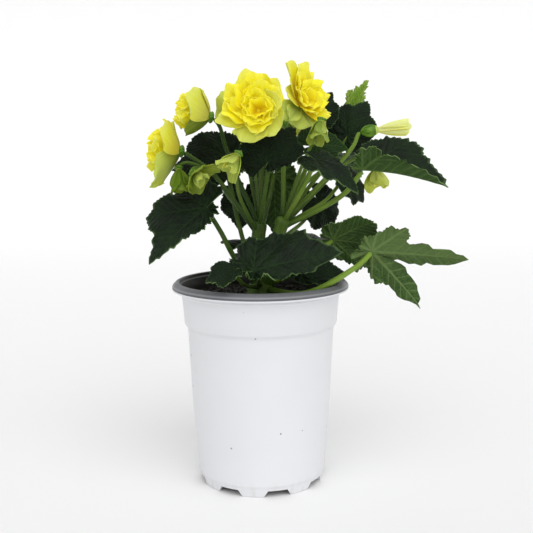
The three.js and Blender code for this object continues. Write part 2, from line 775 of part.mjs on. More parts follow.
// The flowers and buds. facing is the way that the flower looks, and centre the middle of its core.
// A bud that grows from another flower's stalk names that flower, and the share of the stalk below it.
const BLOOMS = {
  bloom_front: {
    centre: [0, -42, 293],
    facing: [-0.05, -0.93, 0.3],
    radius: 25,
    petals: FRONT_PETALS,
    root: ["left", 206],
    via: [[2, -13, 264]],
  },
  bloom_right: {
    centre: [32, -18, 299],
    facing: [0.68, -0.57, 0.45],
    radius: 27,
    petals: RIGHT_PETALS,
    root: ["right", 211],
  },
  bloom_left: {
    centre: [-62, -8, 264],
    facing: [-0.97, 0.04, 0.15],
    radius: 26,
    petals: LEFT_PETALS,
    root: ["left", 197],
  },
  bloom_left_up: {
    centre: [-39, -2, 290],
    facing: [-0.95, 0.08, 0.24],
    radius: 25,
    petals: LEFT_UP_PETALS,
    root: ["left", 206],
    via: [[-15, -5, 238], [-26, 0, 266]],
  },
  bloom_back_left: {
    centre: [-20, 20, 294],
    facing: [-0.25, 0.85, 0.45],
    radius: 18,
    petals: OPENING_PETALS,
    root: ["left", 207],
  },
  bloom_back: {
    centre: [22, 50, 286],
    facing: [0.1, 0.85, 0.5],
    radius: 23,
    petals: OPENING_PETALS,
    root: ["right", 208],
  },
  bloom_back_low: {
    centre: [-10, 72, 266],
    facing: [-0.3, 0.92, 0.22],
    radius: 18,
    petals: OPENING_PETALS,
    root: ["left", 204],
  },
  bud_left_low: {
    centre: [-49, -26, 248],
    facing: [0.62, -0.45, -0.64],
    radius: 20,
    petals: RAGGED_PETALS,
    root: ["bloom_left", 0.72],
  },
  bud_left_under: {
    centre: [-62, -13, 250],
    facing: [0.12, -0.2, -0.97],
    radius: 20,
    petals: NARROW_PETALS,
    root: ["bloom_left", 0.74],
  },
  bud_front: {
    centre: [-15, -50, 261],
    facing: [-0.6, -0.35, -0.75],
    radius: 19,
    petals: DROOPING_PETALS,
    root: ["left", 198],
    via: [[-16, -28, 234], [-16, -39, 260]],
  },
  bud_under_bloom: {
    centre: [46, -36, 285],
    facing: [-0.2, -0.45, -0.87],
    radius: 19,
    petals: NARROW_PETALS,
    root: ["right", 212],
    via: [[36, -9, 259], [47, -26, 281]],
  },
  bud_right: {
    centre: [93, 19, 279],
    facing: [0.99, -0.1, 0.1],
    radius: 26,
    petals: SLIM_PETALS,
    case: 2.4,
    taper: 0.5,
    root: ["right", 207],
    via: [[61, 14, 250], [76, 18, 268]],
  },
  bud_right_low: {
    centre: [96, 40, 247],
    facing: [0.1, -0.25, -0.95],
    radius: 19,
    petals: DROOPING_PETALS,
    root: ["right", 203],
    via: [[80, 43, 256]],
  },
};

// The crown: a rough knob in its hole in the soil, with two main stems that fork above the rim.
function crownParts() {
  const knob = [
    [0, CROWN_FOOT_Z],
    [CROWN_RADIUS - 2, CROWN_FOOT_Z],
    [CROWN_RADIUS, CROWN_FOOT_Z + 6],
    [CROWN_RADIUS, SOIL_Z + 3],
    [CROWN_RADIUS - 2, SOIL_Z + 8],
    [CROWN_RADIUS - 6, SOIL_Z + 11],
    [0, SOIL_Z + 12],
  ];
  return [
    turnedProfile(knob, 12),
    stalk(MAIN_STEMS.left, 6, 5.5, 8, 3),
    stalk(MAIN_STEMS.right, 5.5, 5, 8, 3),
  ];
}

function rootPoint([parent, place]) {
  if (!(parent in MAIN_STEMS)) {
    return curveThrough(flowerRoute(BLOOMS[parent])).getPointAt(place).toArray();
  }
  const axis = MAIN_STEMS[parent];
  const high = Math.max(1, axis.findIndex((p) => p[2] >= place));
  const [a, b] = [vec(axis[high - 1]), vec(axis[high])];
  return a.lerp(b, (place - a.z) / (b.z - a.z)).toArray();
}

function leafStalk(leaf) {
  const [low, high] = PETIOLE_RADII.map((r) => r * Math.min(1.15, 0.6 + leaf.length / 130));
  return stalk(stalkRoute(leaf, leaf.joint, leaf.axes.z, high, BLADE_THICKNESS), low, high);
}

function flowerRoute(bloom) {
  const out = vec(bloom.facing).normalize();
  const reach = coreBehind(bloom) * BLOOM_DEFAULTS.core * bloom.radius;
  const foot = vec(bloom.centre).addScaledVector(out, -reach);
  return stalkRoute(bloom, foot.toArray(), out, PEDUNCLE_RADII[1], 0);
}

function flowerStalk(bloom) {
  const size = Math.min(1, bloom.radius / FULL_BLOOM_RADIUS);
  return stalk(flowerRoute(bloom), PEDUNCLE_RADII[0] * size, PEDUNCLE_RADII[1] * size, PEDUNCLE_SIDES);
}

function stemsGeometry(leaves) {
  const parts = crownParts();
  for (const leaf of leaves) parts.push(leafStalk(leaf));
  for (const bloom of Object.values(BLOOMS)) parts.push(flowerStalk(bloom));
  return geometryFrom(fused(parts));
}

const plant = new THREE.Group();
plant.add(meshOf("pot", potGeometry(), PLASTIC));
plant.add(meshOf("soil", soilGeometry(), PEAT));
const leaves = Object.entries(LEAVES).map(([name, spec]) => ({ name, ...withDefaults(spec) }));
plant.add(meshOf("stems", stemsGeometry(leaves), GREENS.stem));
for (const leaf of leaves) {
  plant.add(meshOf(leaf.name, bladeGeometry(leaf), GREENS[leaf.look ?? "leaf"]));
}
for (const [name, bloom] of Object.entries(BLOOMS)) {
  plant.add(meshOf(name, bloomGeometry(bloom), name.startsWith("bud") ? YELLOWS.bud : YELLOWS.bloom));
}

const bounds = new THREE.Box3().setFromObject(plant);
const middle = bounds.getCenter(new THREE.Vector3());
plant.position.set(-middle.x, -middle.y, -bounds.min.z);

const group = new THREE.Group();
group.add(plant);

export default group;
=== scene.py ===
"""A tuberous begonia with double yellow flowers, in a tall white nursery pot.

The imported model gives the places; this script lays fine leaves, petals, stalks, soil and a moulded
pot over it, with their materials, and sets the stage, the lights and the camera.
Plant places are written in millimetres round the pot's own axis: x to the right of the front view,
y away from it, z up from the floor.
"""

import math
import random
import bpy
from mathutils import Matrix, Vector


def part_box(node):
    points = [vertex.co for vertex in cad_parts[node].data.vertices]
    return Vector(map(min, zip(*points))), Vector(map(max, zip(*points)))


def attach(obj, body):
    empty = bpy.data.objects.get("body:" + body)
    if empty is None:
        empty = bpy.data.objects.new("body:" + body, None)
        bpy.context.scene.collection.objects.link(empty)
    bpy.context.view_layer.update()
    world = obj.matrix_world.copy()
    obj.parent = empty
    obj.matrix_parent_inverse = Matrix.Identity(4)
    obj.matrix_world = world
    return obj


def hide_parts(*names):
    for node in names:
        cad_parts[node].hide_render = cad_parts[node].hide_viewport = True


bl_info = {
    "name": "Potted begonia",
    "version": (1, 0, 0),
    "blender": (4, 5, 0),
    "location": "3D view > Sidebar > Begonia",
    "description": "Fine leaves, flowers, stalks, soil and pot for the potted begonia, with its stage",
    "category": "Object",
}

from dataclasses import dataclass
from types import SimpleNamespace

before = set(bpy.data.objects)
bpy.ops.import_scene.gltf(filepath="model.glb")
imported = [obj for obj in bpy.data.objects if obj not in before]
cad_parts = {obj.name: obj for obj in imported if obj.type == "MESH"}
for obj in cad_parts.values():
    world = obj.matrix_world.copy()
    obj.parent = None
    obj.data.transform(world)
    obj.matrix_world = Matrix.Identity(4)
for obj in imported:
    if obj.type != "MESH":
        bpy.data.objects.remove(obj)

import bpy
from bpy.props import FloatProperty, FloatVectorProperty, IntProperty, PointerProperty
from mathutils import Matrix, Vector, noise

POT_LOW, POT_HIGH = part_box("pot")
AXIS = Vector(((POT_LOW.x + POT_HIGH.x) / 2, (POT_LOW.y + POT_HIGH.y) / 2, 0))
MM = 0.001
WELD_GAP = 2e-6
SPIKE_GAP = 1e-7
UP = Vector((0, 0, 1))
TURN = 2 * math.pi


def spot(point):
    """A place given in millimetres round the pot's axis, in metres in the model's frame."""
    return AXIS + Vector(point) * MM


def ring_spot(radius, angle, height):
    """A place at this radius and angle round the pot's axis."""
    return spot((radius * math.cos(angle), radius * math.sin(angle), height))


def clamp(value, low=0.0, high=1.0):
    return max(low, min(high, value))


def smooth(low, high, value):
    part = clamp((value - low) / (high - low))
    return part * part * (3 - 2 * part)


def lerp(a, b, part):
    return a + (b - a) * part


def arc(u, h, bend):
    """A flat line bent to an arc: u runs along it, h stands on it, bend is in radians a millimetre."""
    if abs(bend) < 1e-6:
        return u, h
    turn = u * bend
    return math.sin(turn) / bend + h * math.sin(turn), (math.cos(turn) - 1) / bend + h * math.cos(turn)


# Making and finishing pieces


def primitive(kind, **settings):
    bpy.ops.object.select_all(action="DESELECT")
    getattr(bpy.ops.mesh, f"primitive_{kind}_add")(**settings)
    return bpy.context.active_object


def linked(name, data):
    """A new object that holds this data."""
    piece = bpy.data.objects.new(name, data)
    bpy.context.collection.objects.link(piece)
    return piece


def pick(*pieces):
    """Selects these pieces alone, the first one active."""
    bpy.ops.object.select_all(action="DESELECT")
    for piece in pieces:
        piece.select_set(True)
    bpy.context.view_layer.objects.active = pieces[0]


def joined(pieces, name):
    pick(*pieces)
    bpy.ops.object.join()
    piece = bpy.context.active_object
    piece.name = name
    piece.data.name = name
    return piece


def applied(piece, kind, **settings):
    """Adds a modifier, sets it and applies it."""
    pick(piece)
    modifier = piece.modifiers.new(kind.title(), kind)
    for key, value in settings.items():
        setattr(modifier, key, value)
    bpy.ops.object.modifier_apply(modifier=modifier.name)


def merged(piece, gap=WELD_GAP, outward=True):
    """Welds points that lie within the gap, in metres, and turns the faces outwards where asked."""
    pick(piece)
    bpy.ops.object.mode_set(mode="EDIT")
    bpy.ops.mesh.select_all(action="SELECT")
    bpy.ops.mesh.remove_doubles(threshold=gap)
    if outward:
        bpy.ops.mesh.normals_make_consistent(inside=False)
    bpy.ops.object.mode_set(mode="OBJECT")
    return piece


def shade(piece, angle):
    """Smooth shading, apart from edges sharper than this angle in degrees."""
    pick(piece)
    bpy.ops.object.shade_smooth_by_angle(angle=math.radians(angle))


def dress(piece, *materials):
    for material in materials:
        piece.data.materials.append(material)


def placed(piece, slot, *nodes):
    """Puts a finished piece on the model in place of the solid parts named by nodes, which it hides, and
    hangs it on the root body. slot, which finish it takes, is not used.
    """
    if nodes:
        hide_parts(*nodes)
    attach(piece, "root")


def grid(name, columns, rows, place, flat=None, tone=None):
    """A grid primitive whose points go where place(u, v) says, with u across and v along, both 0 to 1.

    flat(u, v) gives the piece's own UV place, and tone a number kept with each point for its material.
    """
    piece = primitive("grid", x_subdivisions=columns, y_subdivisions=rows, size=1)
    piece.name = name
    mesh = piece.data
    shares = [(v.co.x + 0.5, v.co.y + 0.5) for v in mesh.vertices]
    spots = []
    for u, v in shares:
        spots.extend(place(u, v))
    mesh.vertices.foreach_set("co", spots)
    layer = mesh.uv_layers[0]
    layer.name = "UVMap"
    around = [(flat(u, v) if flat else (u, v)) for u, v in shares]
    corners = []
    for loop in mesh.loops:
        corners.extend(around[loop.vertex_index])
    layer.data.foreach_set("uv", corners)
    if tone is not None:
        values = mesh.attributes.new("tone", "FLOAT", "POINT")
        values.data.foreach_set("value", [tone(u, v) if callable(tone) else tone for u, v in shares])
    mesh.update()
    return piece


def spikes(name, stands, material):
    """One piece of thin three-sided spikes. Each stand is a spike's tip and the corners of its foot."""
    points = [point for stand in stands for point in stand]
    sides = ((0, 1, 2), (0, 2, 3), (0, 3, 1), (1, 3, 2))
    starts = range(0, len(points), 4)
    mesh = bpy.data.meshes.new(name)
    mesh.from_pydata(points, [], [[start + i for i in side] for start in starts for side in sides])
    piece = merged(linked(name, mesh), SPIKE_GAP)
    dress(piece, material)
    return piece


# Materials


class Wire:
    """A socket's value, so that shader maths is written as an expression."""

    def __init__(self, graph, socket):
        self.graph = graph
        self.socket = socket

    def math(self, operation, *others):
        return self.graph.add("ShaderNodeMath", [self, *others], operation=operation)

    def __add__(self, other):
        return self.math("ADD", other)

    def __mul__(self, other):
        return self.math("MULTIPLY", other)

    def __sub__(self, other):
        return self.math("SUBTRACT", other)

    def __truediv__(self, other):
        return self.math("DIVIDE", other)

    def __pow__(self, other):
        return self.math("POWER", other)


class Graph:
    """The nodes of one material. add makes any node from its type, settings and socket values."""

    def __init__(self, name):
        self.material = bpy.data.materials.new(name)
        self.material.use_nodes = True
        self.tree = self.material.node_tree
        self.surface = self.tree.nodes["Principled BSDF"]

    def add(self, kind, inputs=(), out=0, **settings):
        node = self.tree.nodes.new(kind)
        for key, value in settings.items():
            setattr(node, key, value)
        pairs = inputs.items() if isinstance(inputs, dict) else enumerate(inputs)
        for key, value in pairs:
            self.feed(node.inputs[key], value)
        return Wire(self, node.outputs[out])

    def feed(self, socket, value):
        if isinstance(value, Wire):
            self.tree.links.new(value.socket, socket)
        elif socket.type == "RGBA":
            socket.default_value = (*value, 1)
        else:
            socket.default_value = value

    def set(self, **values):
        """Feeds the surface: Base_Color stands for Base Color."""
        for key, value in values.items():
            self.feed(self.surface.inputs[key.replace("_", " ")], value)

    def place(self):
        return self.add("ShaderNodeTexCoord", out="Object")

    def uv(self):
        return self.add("ShaderNodeUVMap", uv_map="UVMap")

    def tone(self):
        return self.add("ShaderNodeAttribute", out="Fac", attribute_name="tone")

    def split(self, vector):
        node = self.add("ShaderNodeSeparateXYZ", [vector]).socket.node
        return [Wire(self, output) for output in node.outputs]

    def noise(self, where, scale, detail=3, roughness=0.5):
        values = {"Vector": where, "Scale": scale, "Detail": detail, "Roughness": roughness}
        return self.add("ShaderNodeTexNoise", values, out="Fac")

    def stretched(self, where, *shares):
        return self.add("ShaderNodeVectorMath", [where, shares], operation="MULTIPLY")

    def streaks(self, *place):
        """Fine noise drawn out along a surface, from three coordinates."""
        return self.noise(self.add("ShaderNodeCombineXYZ", place), 1)

    def range(self, value, low, high, to_low=0.0, to_high=1.0):
        values = [value, low, high, to_low, to_high]
        return self.add("ShaderNodeMapRange", values, interpolation_type="SMOOTHSTEP")

    def mix(self, factor, a, b):
        return self.add("ShaderNodeMix", {0: factor, 6: a, 7: b}, out=2, data_type="RGBA")

    def coats(self, tint, *coats):
        """Lays coats over a colour, each given as its share and its own colour."""
        for share, coat in coats:
            tint = self.mix(share, tint, coat)
        return tint

    def finish(self, tint, rough, height, strength, depth, **rest):
        """Feeds the surface, with a bump of this depth in metres, and gives the material."""
        bump = self.add("ShaderNodeBump", {"Height": height, "Strength": strength, "Distance": depth})
        self.set(Base_Color=tint, Roughness=rough, Normal=bump, **rest)
        return self.material


def rgb(*shown):
    """A colour as it shows on screen, from 0 to 255, as the shader wants it."""
    return tuple(((c / 255 + 0.055) / 1.055) ** 2.4 if c > 10 else c / 255 / 12.92 for c in shown)


def dimmed(tint, share):
    return tuple(c * share for c in tint)


# Pot

PLASTIC_IOR = 1.48
POLE_GAP = 1e-4  # welds the rings at the pot's own axis, in metres
RIM_HIGHLIGHT = (0.1578, 0.1584, 0.159, 0.1596)  # heights in metres where a painted highlight, a pale line along the rim, comes and goes
RIM_LOW = 156.6  # the grey rim starts here on the outside
RIM_INWARD = 160  # and here on the inside
FOOT_COUNT = 8
FIRST_FOOT = -8  # degrees from the front
# Each notch between two feet: width and height at its foot and at its top, its place and its depth.
NOTCH_WIDTHS = (22.8, 15.5)
NOTCH_HEIGHTS = (-1, 5.2)
NOTCH_PLACE = 49
NOTCH_DEPTH = 14
DRAIN_PLACE = 37
DRAIN_Z = 7
DRAIN_RADIUS = 3.2
DRAIN_DEPTH = 6
# The outside from a foot up over the rim, the inside down to the floor, and the floor's under side:
# radius and height.
OUTSIDE = [
    (46, 0), (48.4, 0), (49, 0.6), (50.3, 7.4), (50.5, 8.2), (51.1, 8.6), (51.25, 9.4), (51.3, 10.4),
    (55.35, 66.7), (57.9, 118), (58.3, 123.6), (58.5, 125.4), (59.0, 126.8), (60.2, 127.8),
    (60.7, 129), (62.3, 148), (62.6, 151), (63.2, 151.7), (63.8, 152.6), (63.8, 153.8), (63.5, 154.6),
    (64.2, 154.95), (68.8, 155), (69.7, 155.3), (70, 156), (70, 156.6), (70, 158.0), (69.6, 158.8),
    (67.4, 161.1), (66.4, 161.6), (65.2, 161.6), (64.5, 161),
]
INSIDE = [
    (61.5, 153), (61.3, 151), (59.4, 128.8), (58.6, 126.9), (57.3, 125.8), (54, 66), (49.9, 10.4),
    (49.2, 8.3), (48, 7.8),
]
UNDER = [(0.02, 7.8), (0.02, 6.5), (45.4, 6.5), (46, 5.6)]


def white_material(pot):
    """White plastic with dirt specks and a stained foot."""
    graph = Graph("white pot plastic")
    place = graph.place()
    _, _, z = graph.split(place)
    cloud = graph.noise(place, 22, 4)
    streak = graph.noise(graph.stretched(place, 60, 60, 5), 4)
    specks = graph.add("ShaderNodeTexVoronoi", {"Vector": place, "Scale": 105}, out="Distance")
    chosen = graph.noise(place, 60, 0)
    dirt = graph.range(specks, 0.05, 0.09, 1, 0) * graph.range(chosen, 0.57, 0.61)
    foot = graph.range(z, 0.016, 0.0) * graph.range(streak, 0.45, 0.75) * 0.22
    tint = graph.coats(
        pot.white,
        (cloud, dimmed(pot.white, 0.95)),
        (foot, rgb(176, 168, 150)),
        (dirt * 0.8, rgb(92, 84, 74)),
    )
    ripple = graph.noise(place, 9, 2) * 0.6 + graph.noise(place, 900, 2) * 0.02
    rough = graph.range(cloud, 0.2, 0.8, 0.36, 0.5)
    return graph.finish(tint, rough, ripple, 0.25, 0.004, IOR=PLASTIC_IOR)


def grey_material(name, grey):
    """Grey plastic with dust and, on the rim, a painted highlight: a pale line near the top of its outer
    face.
    """
    graph = Graph(name)
    place = graph.place()
    _, _, z = graph.split(place)
    cloud = graph.noise(place, 60, 4, 0.6)
    dust = graph.noise(place, 380, 3, 0.7)
    rise, full, fade, gone = RIM_HIGHLIGHT
    # Painted highlight: a pale band along the rim's outer face, between these heights.
    line = graph.range(z, rise, full) * graph.range(z, gone, fade)
    tint = graph.coats(
        grey,
        (cloud, dimmed(grey, 0.62)),
        (graph.range(dust, 0.55, 0.8) * 0.16, rgb(150, 148, 142)),
        (line * 0.45, rgb(160, 162, 162)),
    )
    rough = graph.range(cloud, 0.2, 0.8, 0.34, 0.56)
    return graph.finish(tint, rough, dust, 0.2, 0.0004, IOR=PLASTIC_IOR)


def wall_wave(angle, height):
    """How far the thin wall leaves a true circle between its ridge and its band, in millimetres."""
    inside = smooth(12, 40, height) * smooth(124, 100, height)
    turn = Vector((math.cos(angle) * 1.3, math.sin(angle) * 1.3, height * 0.016))
    return 0.55 * inside * noise.noise(turn)


def make_pot(pot):
    profile = OUTSIDE + INSIDE + UNDER + OUTSIDE[:1]
    count = len(profile) - 1

    def place(u, v):
        radius, height = profile[round(v * count)]
        angle = TURN * u
        if radius > 1:
            radius += wall_wave(angle, height)
        return ring_spot(radius, angle, height)

    piece = merged(merged(grid("pot_moulded", pot.sides, count, place)), POLE_GAP)
    for index in range(FOOT_COUNT):
        turn = math.radians(FIRST_FOOT + 360 / FOOT_COUNT * (index + 0.5)) - math.pi / 2
        out = Vector((math.cos(turn), math.sin(turn), 0))
        side = Vector((-out.y, out.x, 0))
        notch = primitive("cube", size=1)
        for vertex in notch.data.vertices:
            top = 0 if vertex.co.z < 0 else 1
            reach = NOTCH_PLACE + NOTCH_DEPTH * vertex.co.x
            sideways = side * NOTCH_WIDTHS[top] * vertex.co.y
            vertex.co = spot((0, 0, NOTCH_HEIGHTS[top])) + (out * reach + sideways) * MM
        middle = spot((0, 0, DRAIN_Z)) + out * DRAIN_PLACE * MM
        drain = primitive(
            "cylinder", vertices=24, radius=DRAIN_RADIUS * MM, depth=DRAIN_DEPTH * MM, location=middle)
        for tool in (notch, drain):
            merged(tool)
            applied(piece, "BOOLEAN", operation="DIFFERENCE", object=tool, solver="EXACT")
            bpy.data.objects.remove(tool)
    # The third finish is grey plastic darkened as painted shade: inside the pot, and on the under side of
    # its floor and foot ring.
    dress(
        piece, white_material(pot), grey_material("grey pot rim", pot.grey),
        grey_material("grey pot inside", pot.inside))
    for face in piece.data.polygons:
        face.material_index = pot_finish(face)
    shade(piece, 32)
    placed(piece, "pot", "pot")


def pot_finish(face):
    """0 for a white face, 1 for one of the grey rim, 2 for one of the inside, grey plastic darkened as
    painted shade, or of the under side, made dark as painted shade beneath the pot.
    """
    centre = (face.center - AXIS) / MM
    radius = math.hypot(centre.x, centre.y)
    inward = face.normal.x * centre.x + face.normal.y * centre.y < 0
    if centre.z > RIM_LOW and radius > 61 and not (inward and centre.z < RIM_INWARD):
        return 1
    inside = (inward and centre.z > 9 and radius > 48) or (centre.z > 7 and radius < 49)
    # The under side of the floor and the inner foot ring take the dark finish as painted shade beneath the
    # pot.
    under = radius < 46.2 or (inward and radius < 47)
    return 2 if inside or under else 0


# Soil and moss

SOIL_Z = 150.1
SOIL_RADIUS = 60.2
HOLE_RADIUS = 12.3
SOIL_RINGS = 34
CRUMB_SPAN = (15, 58)  # crumbs lie between these radii
CRUMB_SIZE = 2.3
# The hole for the crown, from its middle up, and the sides and floor of the soil: radius and height.
HOLE = [(0, 131.4), (HOLE_RADIUS, 131.4), (HOLE_RADIUS, 140), (HOLE_RADIUS, 147)]
SOIL_LOW = [(59.2, 147.4), (57.8, 129.4), (55.6, 125), (48.2, 14.4), (46.8, 8.3), (0, 8.3)]


def soil_height(x, y):
    """The soil's surface in millimetres: small heaps, lower against the wall."""
    place = Vector((x, y, 0))
    heap = 1.5 * noise.noise(place * 0.06) + 0.9 * noise.noise(place * 0.19)
    grit = 0.5 * noise.noise(place * 0.55) + 0.28 * noise.noise(place * 1.3)
    edge = smooth(50, SOIL_RADIUS, math.hypot(x, y))
    return SOIL_Z + (heap + grit) * (1 - 0.6 * edge) - 1.2 * edge


def soil_material(plant):
    graph = Graph("dark peat")
    place = graph.place()
    clump = graph.noise(place, 140, 5, 0.65)
    fibre = graph.noise(graph.stretched(place, 1, 3, 1), 600, 3, 0.6)
    patch = graph.noise(place, 45, 2)
    tint = graph.coats(
        rgb(16, 14, 9),
        (graph.range(clump, 0.35, 0.7), plant.soil),
        (graph.range(fibre, 0.6, 0.75) * 0.7, rgb(74, 56, 34)),
        (graph.range(patch, 0.55, 0.75) * 0.5, rgb(44, 44, 24)),
    )
    rough = graph.range(clump, 0.3, 0.8, 0.8, 0.97)
    return graph.finish(tint, rough, clump + fibre * 0.4, 0.9, 0.0012)


def moss_material(plant):
    graph = Graph("moss")
    place = graph.place()
    patch = graph.noise(place, 260)
    fine = graph.noise(place, 1500, 2)
    tint = graph.coats(
        plant.moss,
        (graph.range(patch, 0.35, 0.7), rgb(96, 74, 40)),
        (graph.range(fine, 0.5, 0.8) * 0.5, rgb(122, 128, 66)),
    )
    return graph.finish(tint, 0.9, fine, 0.6, 0.0006)


def make_soil(plant):
    radii = [lerp(HOLE_RADIUS, SOIL_RADIUS, ring / (SOIL_RINGS - 1)) for ring in range(SOIL_RINGS)]
    profile = HOLE + [(radius, None) for radius in radii] + SOIL_LOW
    count = len(profile) - 1

    def place(u, v):
        angle = -TURN * u
        radius, height = profile[round(v * count)]
        if height is None:
            height = soil_height(radius * math.cos(angle), radius * math.sin(angle))
        return ring_spot(radius, angle, height)

    piece = merged(grid("soil_peat", 150, count, place))
    dress(piece, soil_material(plant))
    draw = random.Random(11)
    crumbs = []
    for _ in range(plant.crumbs):
        radius = lerp(*CRUMB_SPAN, math.sqrt(draw.random()))
        angle = draw.uniform(0, TURN)
        x, y = radius * math.cos(angle), radius * math.sin(angle)
        size = draw.uniform(0.5, 1.0) ** 2 * CRUMB_SIZE
        crumb = primitive("ico_sphere", subdivisions=1, radius=1)
        spin = draw.uniform(0, 6)
        turn = Matrix.Rotation(spin, 3, Vector((draw.random(), draw.random(), draw.random() + 0.1)))
        sizes = Vector((draw.uniform(0.6, 1.5), draw.uniform(0.6, 1.2), draw.uniform(0.5, 0.9))) * size
        middle = spot((x, y, soil_height(x, y) + 0.25 * size))
        for vertex in crumb.data.vertices:
            vertex.co = middle + turn @ (Vector(vertex.co) * sizes * draw.uniform(0.8, 1.2)) * MM
        crumbs.append(crumb)
    crumb = joined(crumbs, "soil_crumbs")
    dress(crumb, piece.data.materials[0])
    shade(piece, 180)
    shade(crumb, 50)
    placed(piece, "soil", "soil")
    placed(crumb, "soil")
    make_moss(plant)


MOSS_LENGTHS = (1.2, 3.2)
MOSS_WIDTHS = (0.25, 0.5)
MOSS_TO_WALL = 1.5  # moss keeps this far from the wall
# Moss tufts: x and y of the tuft's middle, its radius and how many blades it has.
MOSS_TUFTS = [
    (-46, -26, 10, 260), (-36, -38, 9, 200), (-52, -10, 7, 120), (-30, -46, 6, 70), (-20, -40, 5, 40),
    (44, -30, 6, 60), (34, -44, 5, 50), (10, 50, 7, 60), (-34, 42, 8, 80), (48, 18, 6, 60),
]


def make_moss(plant):
    draw = random.Random(5)
    blades = []
    for middle_x, middle_y, spread, count in MOSS_TUFTS:
        for _ in range(count):
            radius = spread * math.sqrt(draw.random())
            angle = draw.uniform(0, TURN)
            x, y = middle_x + radius * math.cos(angle), middle_y + radius * math.sin(angle)
            if math.hypot(x, y) > SOIL_RADIUS - MOSS_TO_WALL:
                continue
            foot = Vector((x, y, soil_height(x, y) - 0.3))
            lean = Vector((draw.uniform(-1, 1), draw.uniform(-1, 1), draw.uniform(0.4, 1.4)))
            lean.normalize()
            length = draw.uniform(*MOSS_LENGTHS)
            width = draw.uniform(*MOSS_WIDTHS)
            blade = [spot(foot + lean * length)]
            for step in range(3):
                turn = TURN * step / 3 + angle
                blade.append(spot(foot + Vector((math.cos(turn), math.sin(turn), 0)) * width))
            blades.append(blade)
    placed(spikes("soil_moss", blades, moss_material(plant)), "soil")


# Stalks

# Axes of the crown and the two main stems, the points that other stalks leave from.
MAIN_STEMS = {
    "crown": [(0, 0, 132), (0, 0, 161)],
    "left": [(-2, 0, 149), (-3, 0, 178), (0, 0, 210)],
    "right": [(4, 0, 149), (10, -2, 180), (19, -3, 213)],
}
CURVE_STEPS = 24
ROUTE_STEPS = 200
STEM_SIDES = 22
LEAF_STALK_SIDES = 14
FLOWER_STALK_SIDES = 12
SUNNY_X = 30  # stalks of leaves and flowers beyond this stand in better light and are paler
# Radii of a full-sized stalk at its root and at its top.
LEAF_STALK = (2.1, 1.7)
FLOWER_STALK = (2.0, 1.5)
HAIR_LOW = 0.16  # hairs stand above this height, in metres
HAIR_LENGTHS = (0.6, 1.7)
HAIR_WIDTH = 0.05
HAIR_DEPTH = 0.1
# The crown's outline from below: radius and height.
CROWN = [(0, 132), (10, 132), (12, 138), (12, 150), (11.2, 154), (9.4, 157.5), (6, 160.5), (0, 161.4)]


def curve_through(route, count):
    """Points evenly spaced on a smooth curve through the route, as stalks run in the solid model."""
    points = [Vector(p) for p in route]
    points = [points[0] * 2 - points[1], *points, points[-1] * 2 - points[-2]]
    fine = []
    for index in range(1, len(points) - 2):
        p0, p1, p2, p3 = points[index - 1 : index + 3]
        d0 = max((p1 - p0).length ** 0.5, 1e-4)
        d1 = max((p2 - p1).length ** 0.5, 1e-4)
        d2 = max((p3 - p2).length ** 0.5, 1e-4)
        t1 = ((p1 - p0) / d0 - (p2 - p0) / (d0 + d1) + (p2 - p1) / d1) * d1
        t2 = ((p2 - p1) / d1 - (p3 - p1) / (d1 + d2) + (p3 - p2) / d2) * d1
        for step in range(CURVE_STEPS + (index == len(points) - 3)):
            t = step / CURVE_STEPS
            a = p1 * 2 - p2 * 2 + t1 + t2
            b = p2 * 3 - p1 * 3 - t1 * 2 - t2
            fine.append(a * t**3 + b * t**2 + t1 * t + p1)
    lengths = [0.0]
    for a, b in zip(fine, fine[1:]):
        lengths.append(lengths[-1] + (b - a).length)
    even = []
    high = 1
    for index in range(count + 1):
        wanted = lengths[-1] * index / count
        while high < len(fine) - 1 and lengths[high] < wanted:
            high += 1
        part = (wanted - lengths[high - 1]) / max(lengths[high] - lengths[high - 1], 1e-9)
        even.append(fine[high - 1].lerp(fine[high], clamp(part)))
    return even


def root_point(root):
    """Where a stalk starts: a height on the crown or a main stem, or a share of a flower's stalk."""
    parent, place = root
    if parent not in MAIN_STEMS:
        return curve_through(flower_route(BLOOMS[parent]), ROUTE_STEPS)[round(place * ROUTE_STEPS)]
    axis = MAIN_STEMS[parent]
    low, high = next((a, b) for a, b in zip(axis, axis[1:]) if place <= b[2] or b is axis[-1])
    return Vector(low).lerp(Vector(high), (place - low[2]) / (high[2] - low[2]))


def stalk_route(root, via, joint, out, lift):
    """The points of a stalk from its root, past the given places, to just under its joint."""
    start = root_point(root)
    last = Vector(via[-1]) if via else start
    arriving = ((Vector(joint) - last).normalized() + out * 0.45).normalized()
    end = Vector(joint) - out * lift
    before = end - arriving * 0.3 * (end - last).length
    return [start, *[Vector(p) for p in via], before, end]


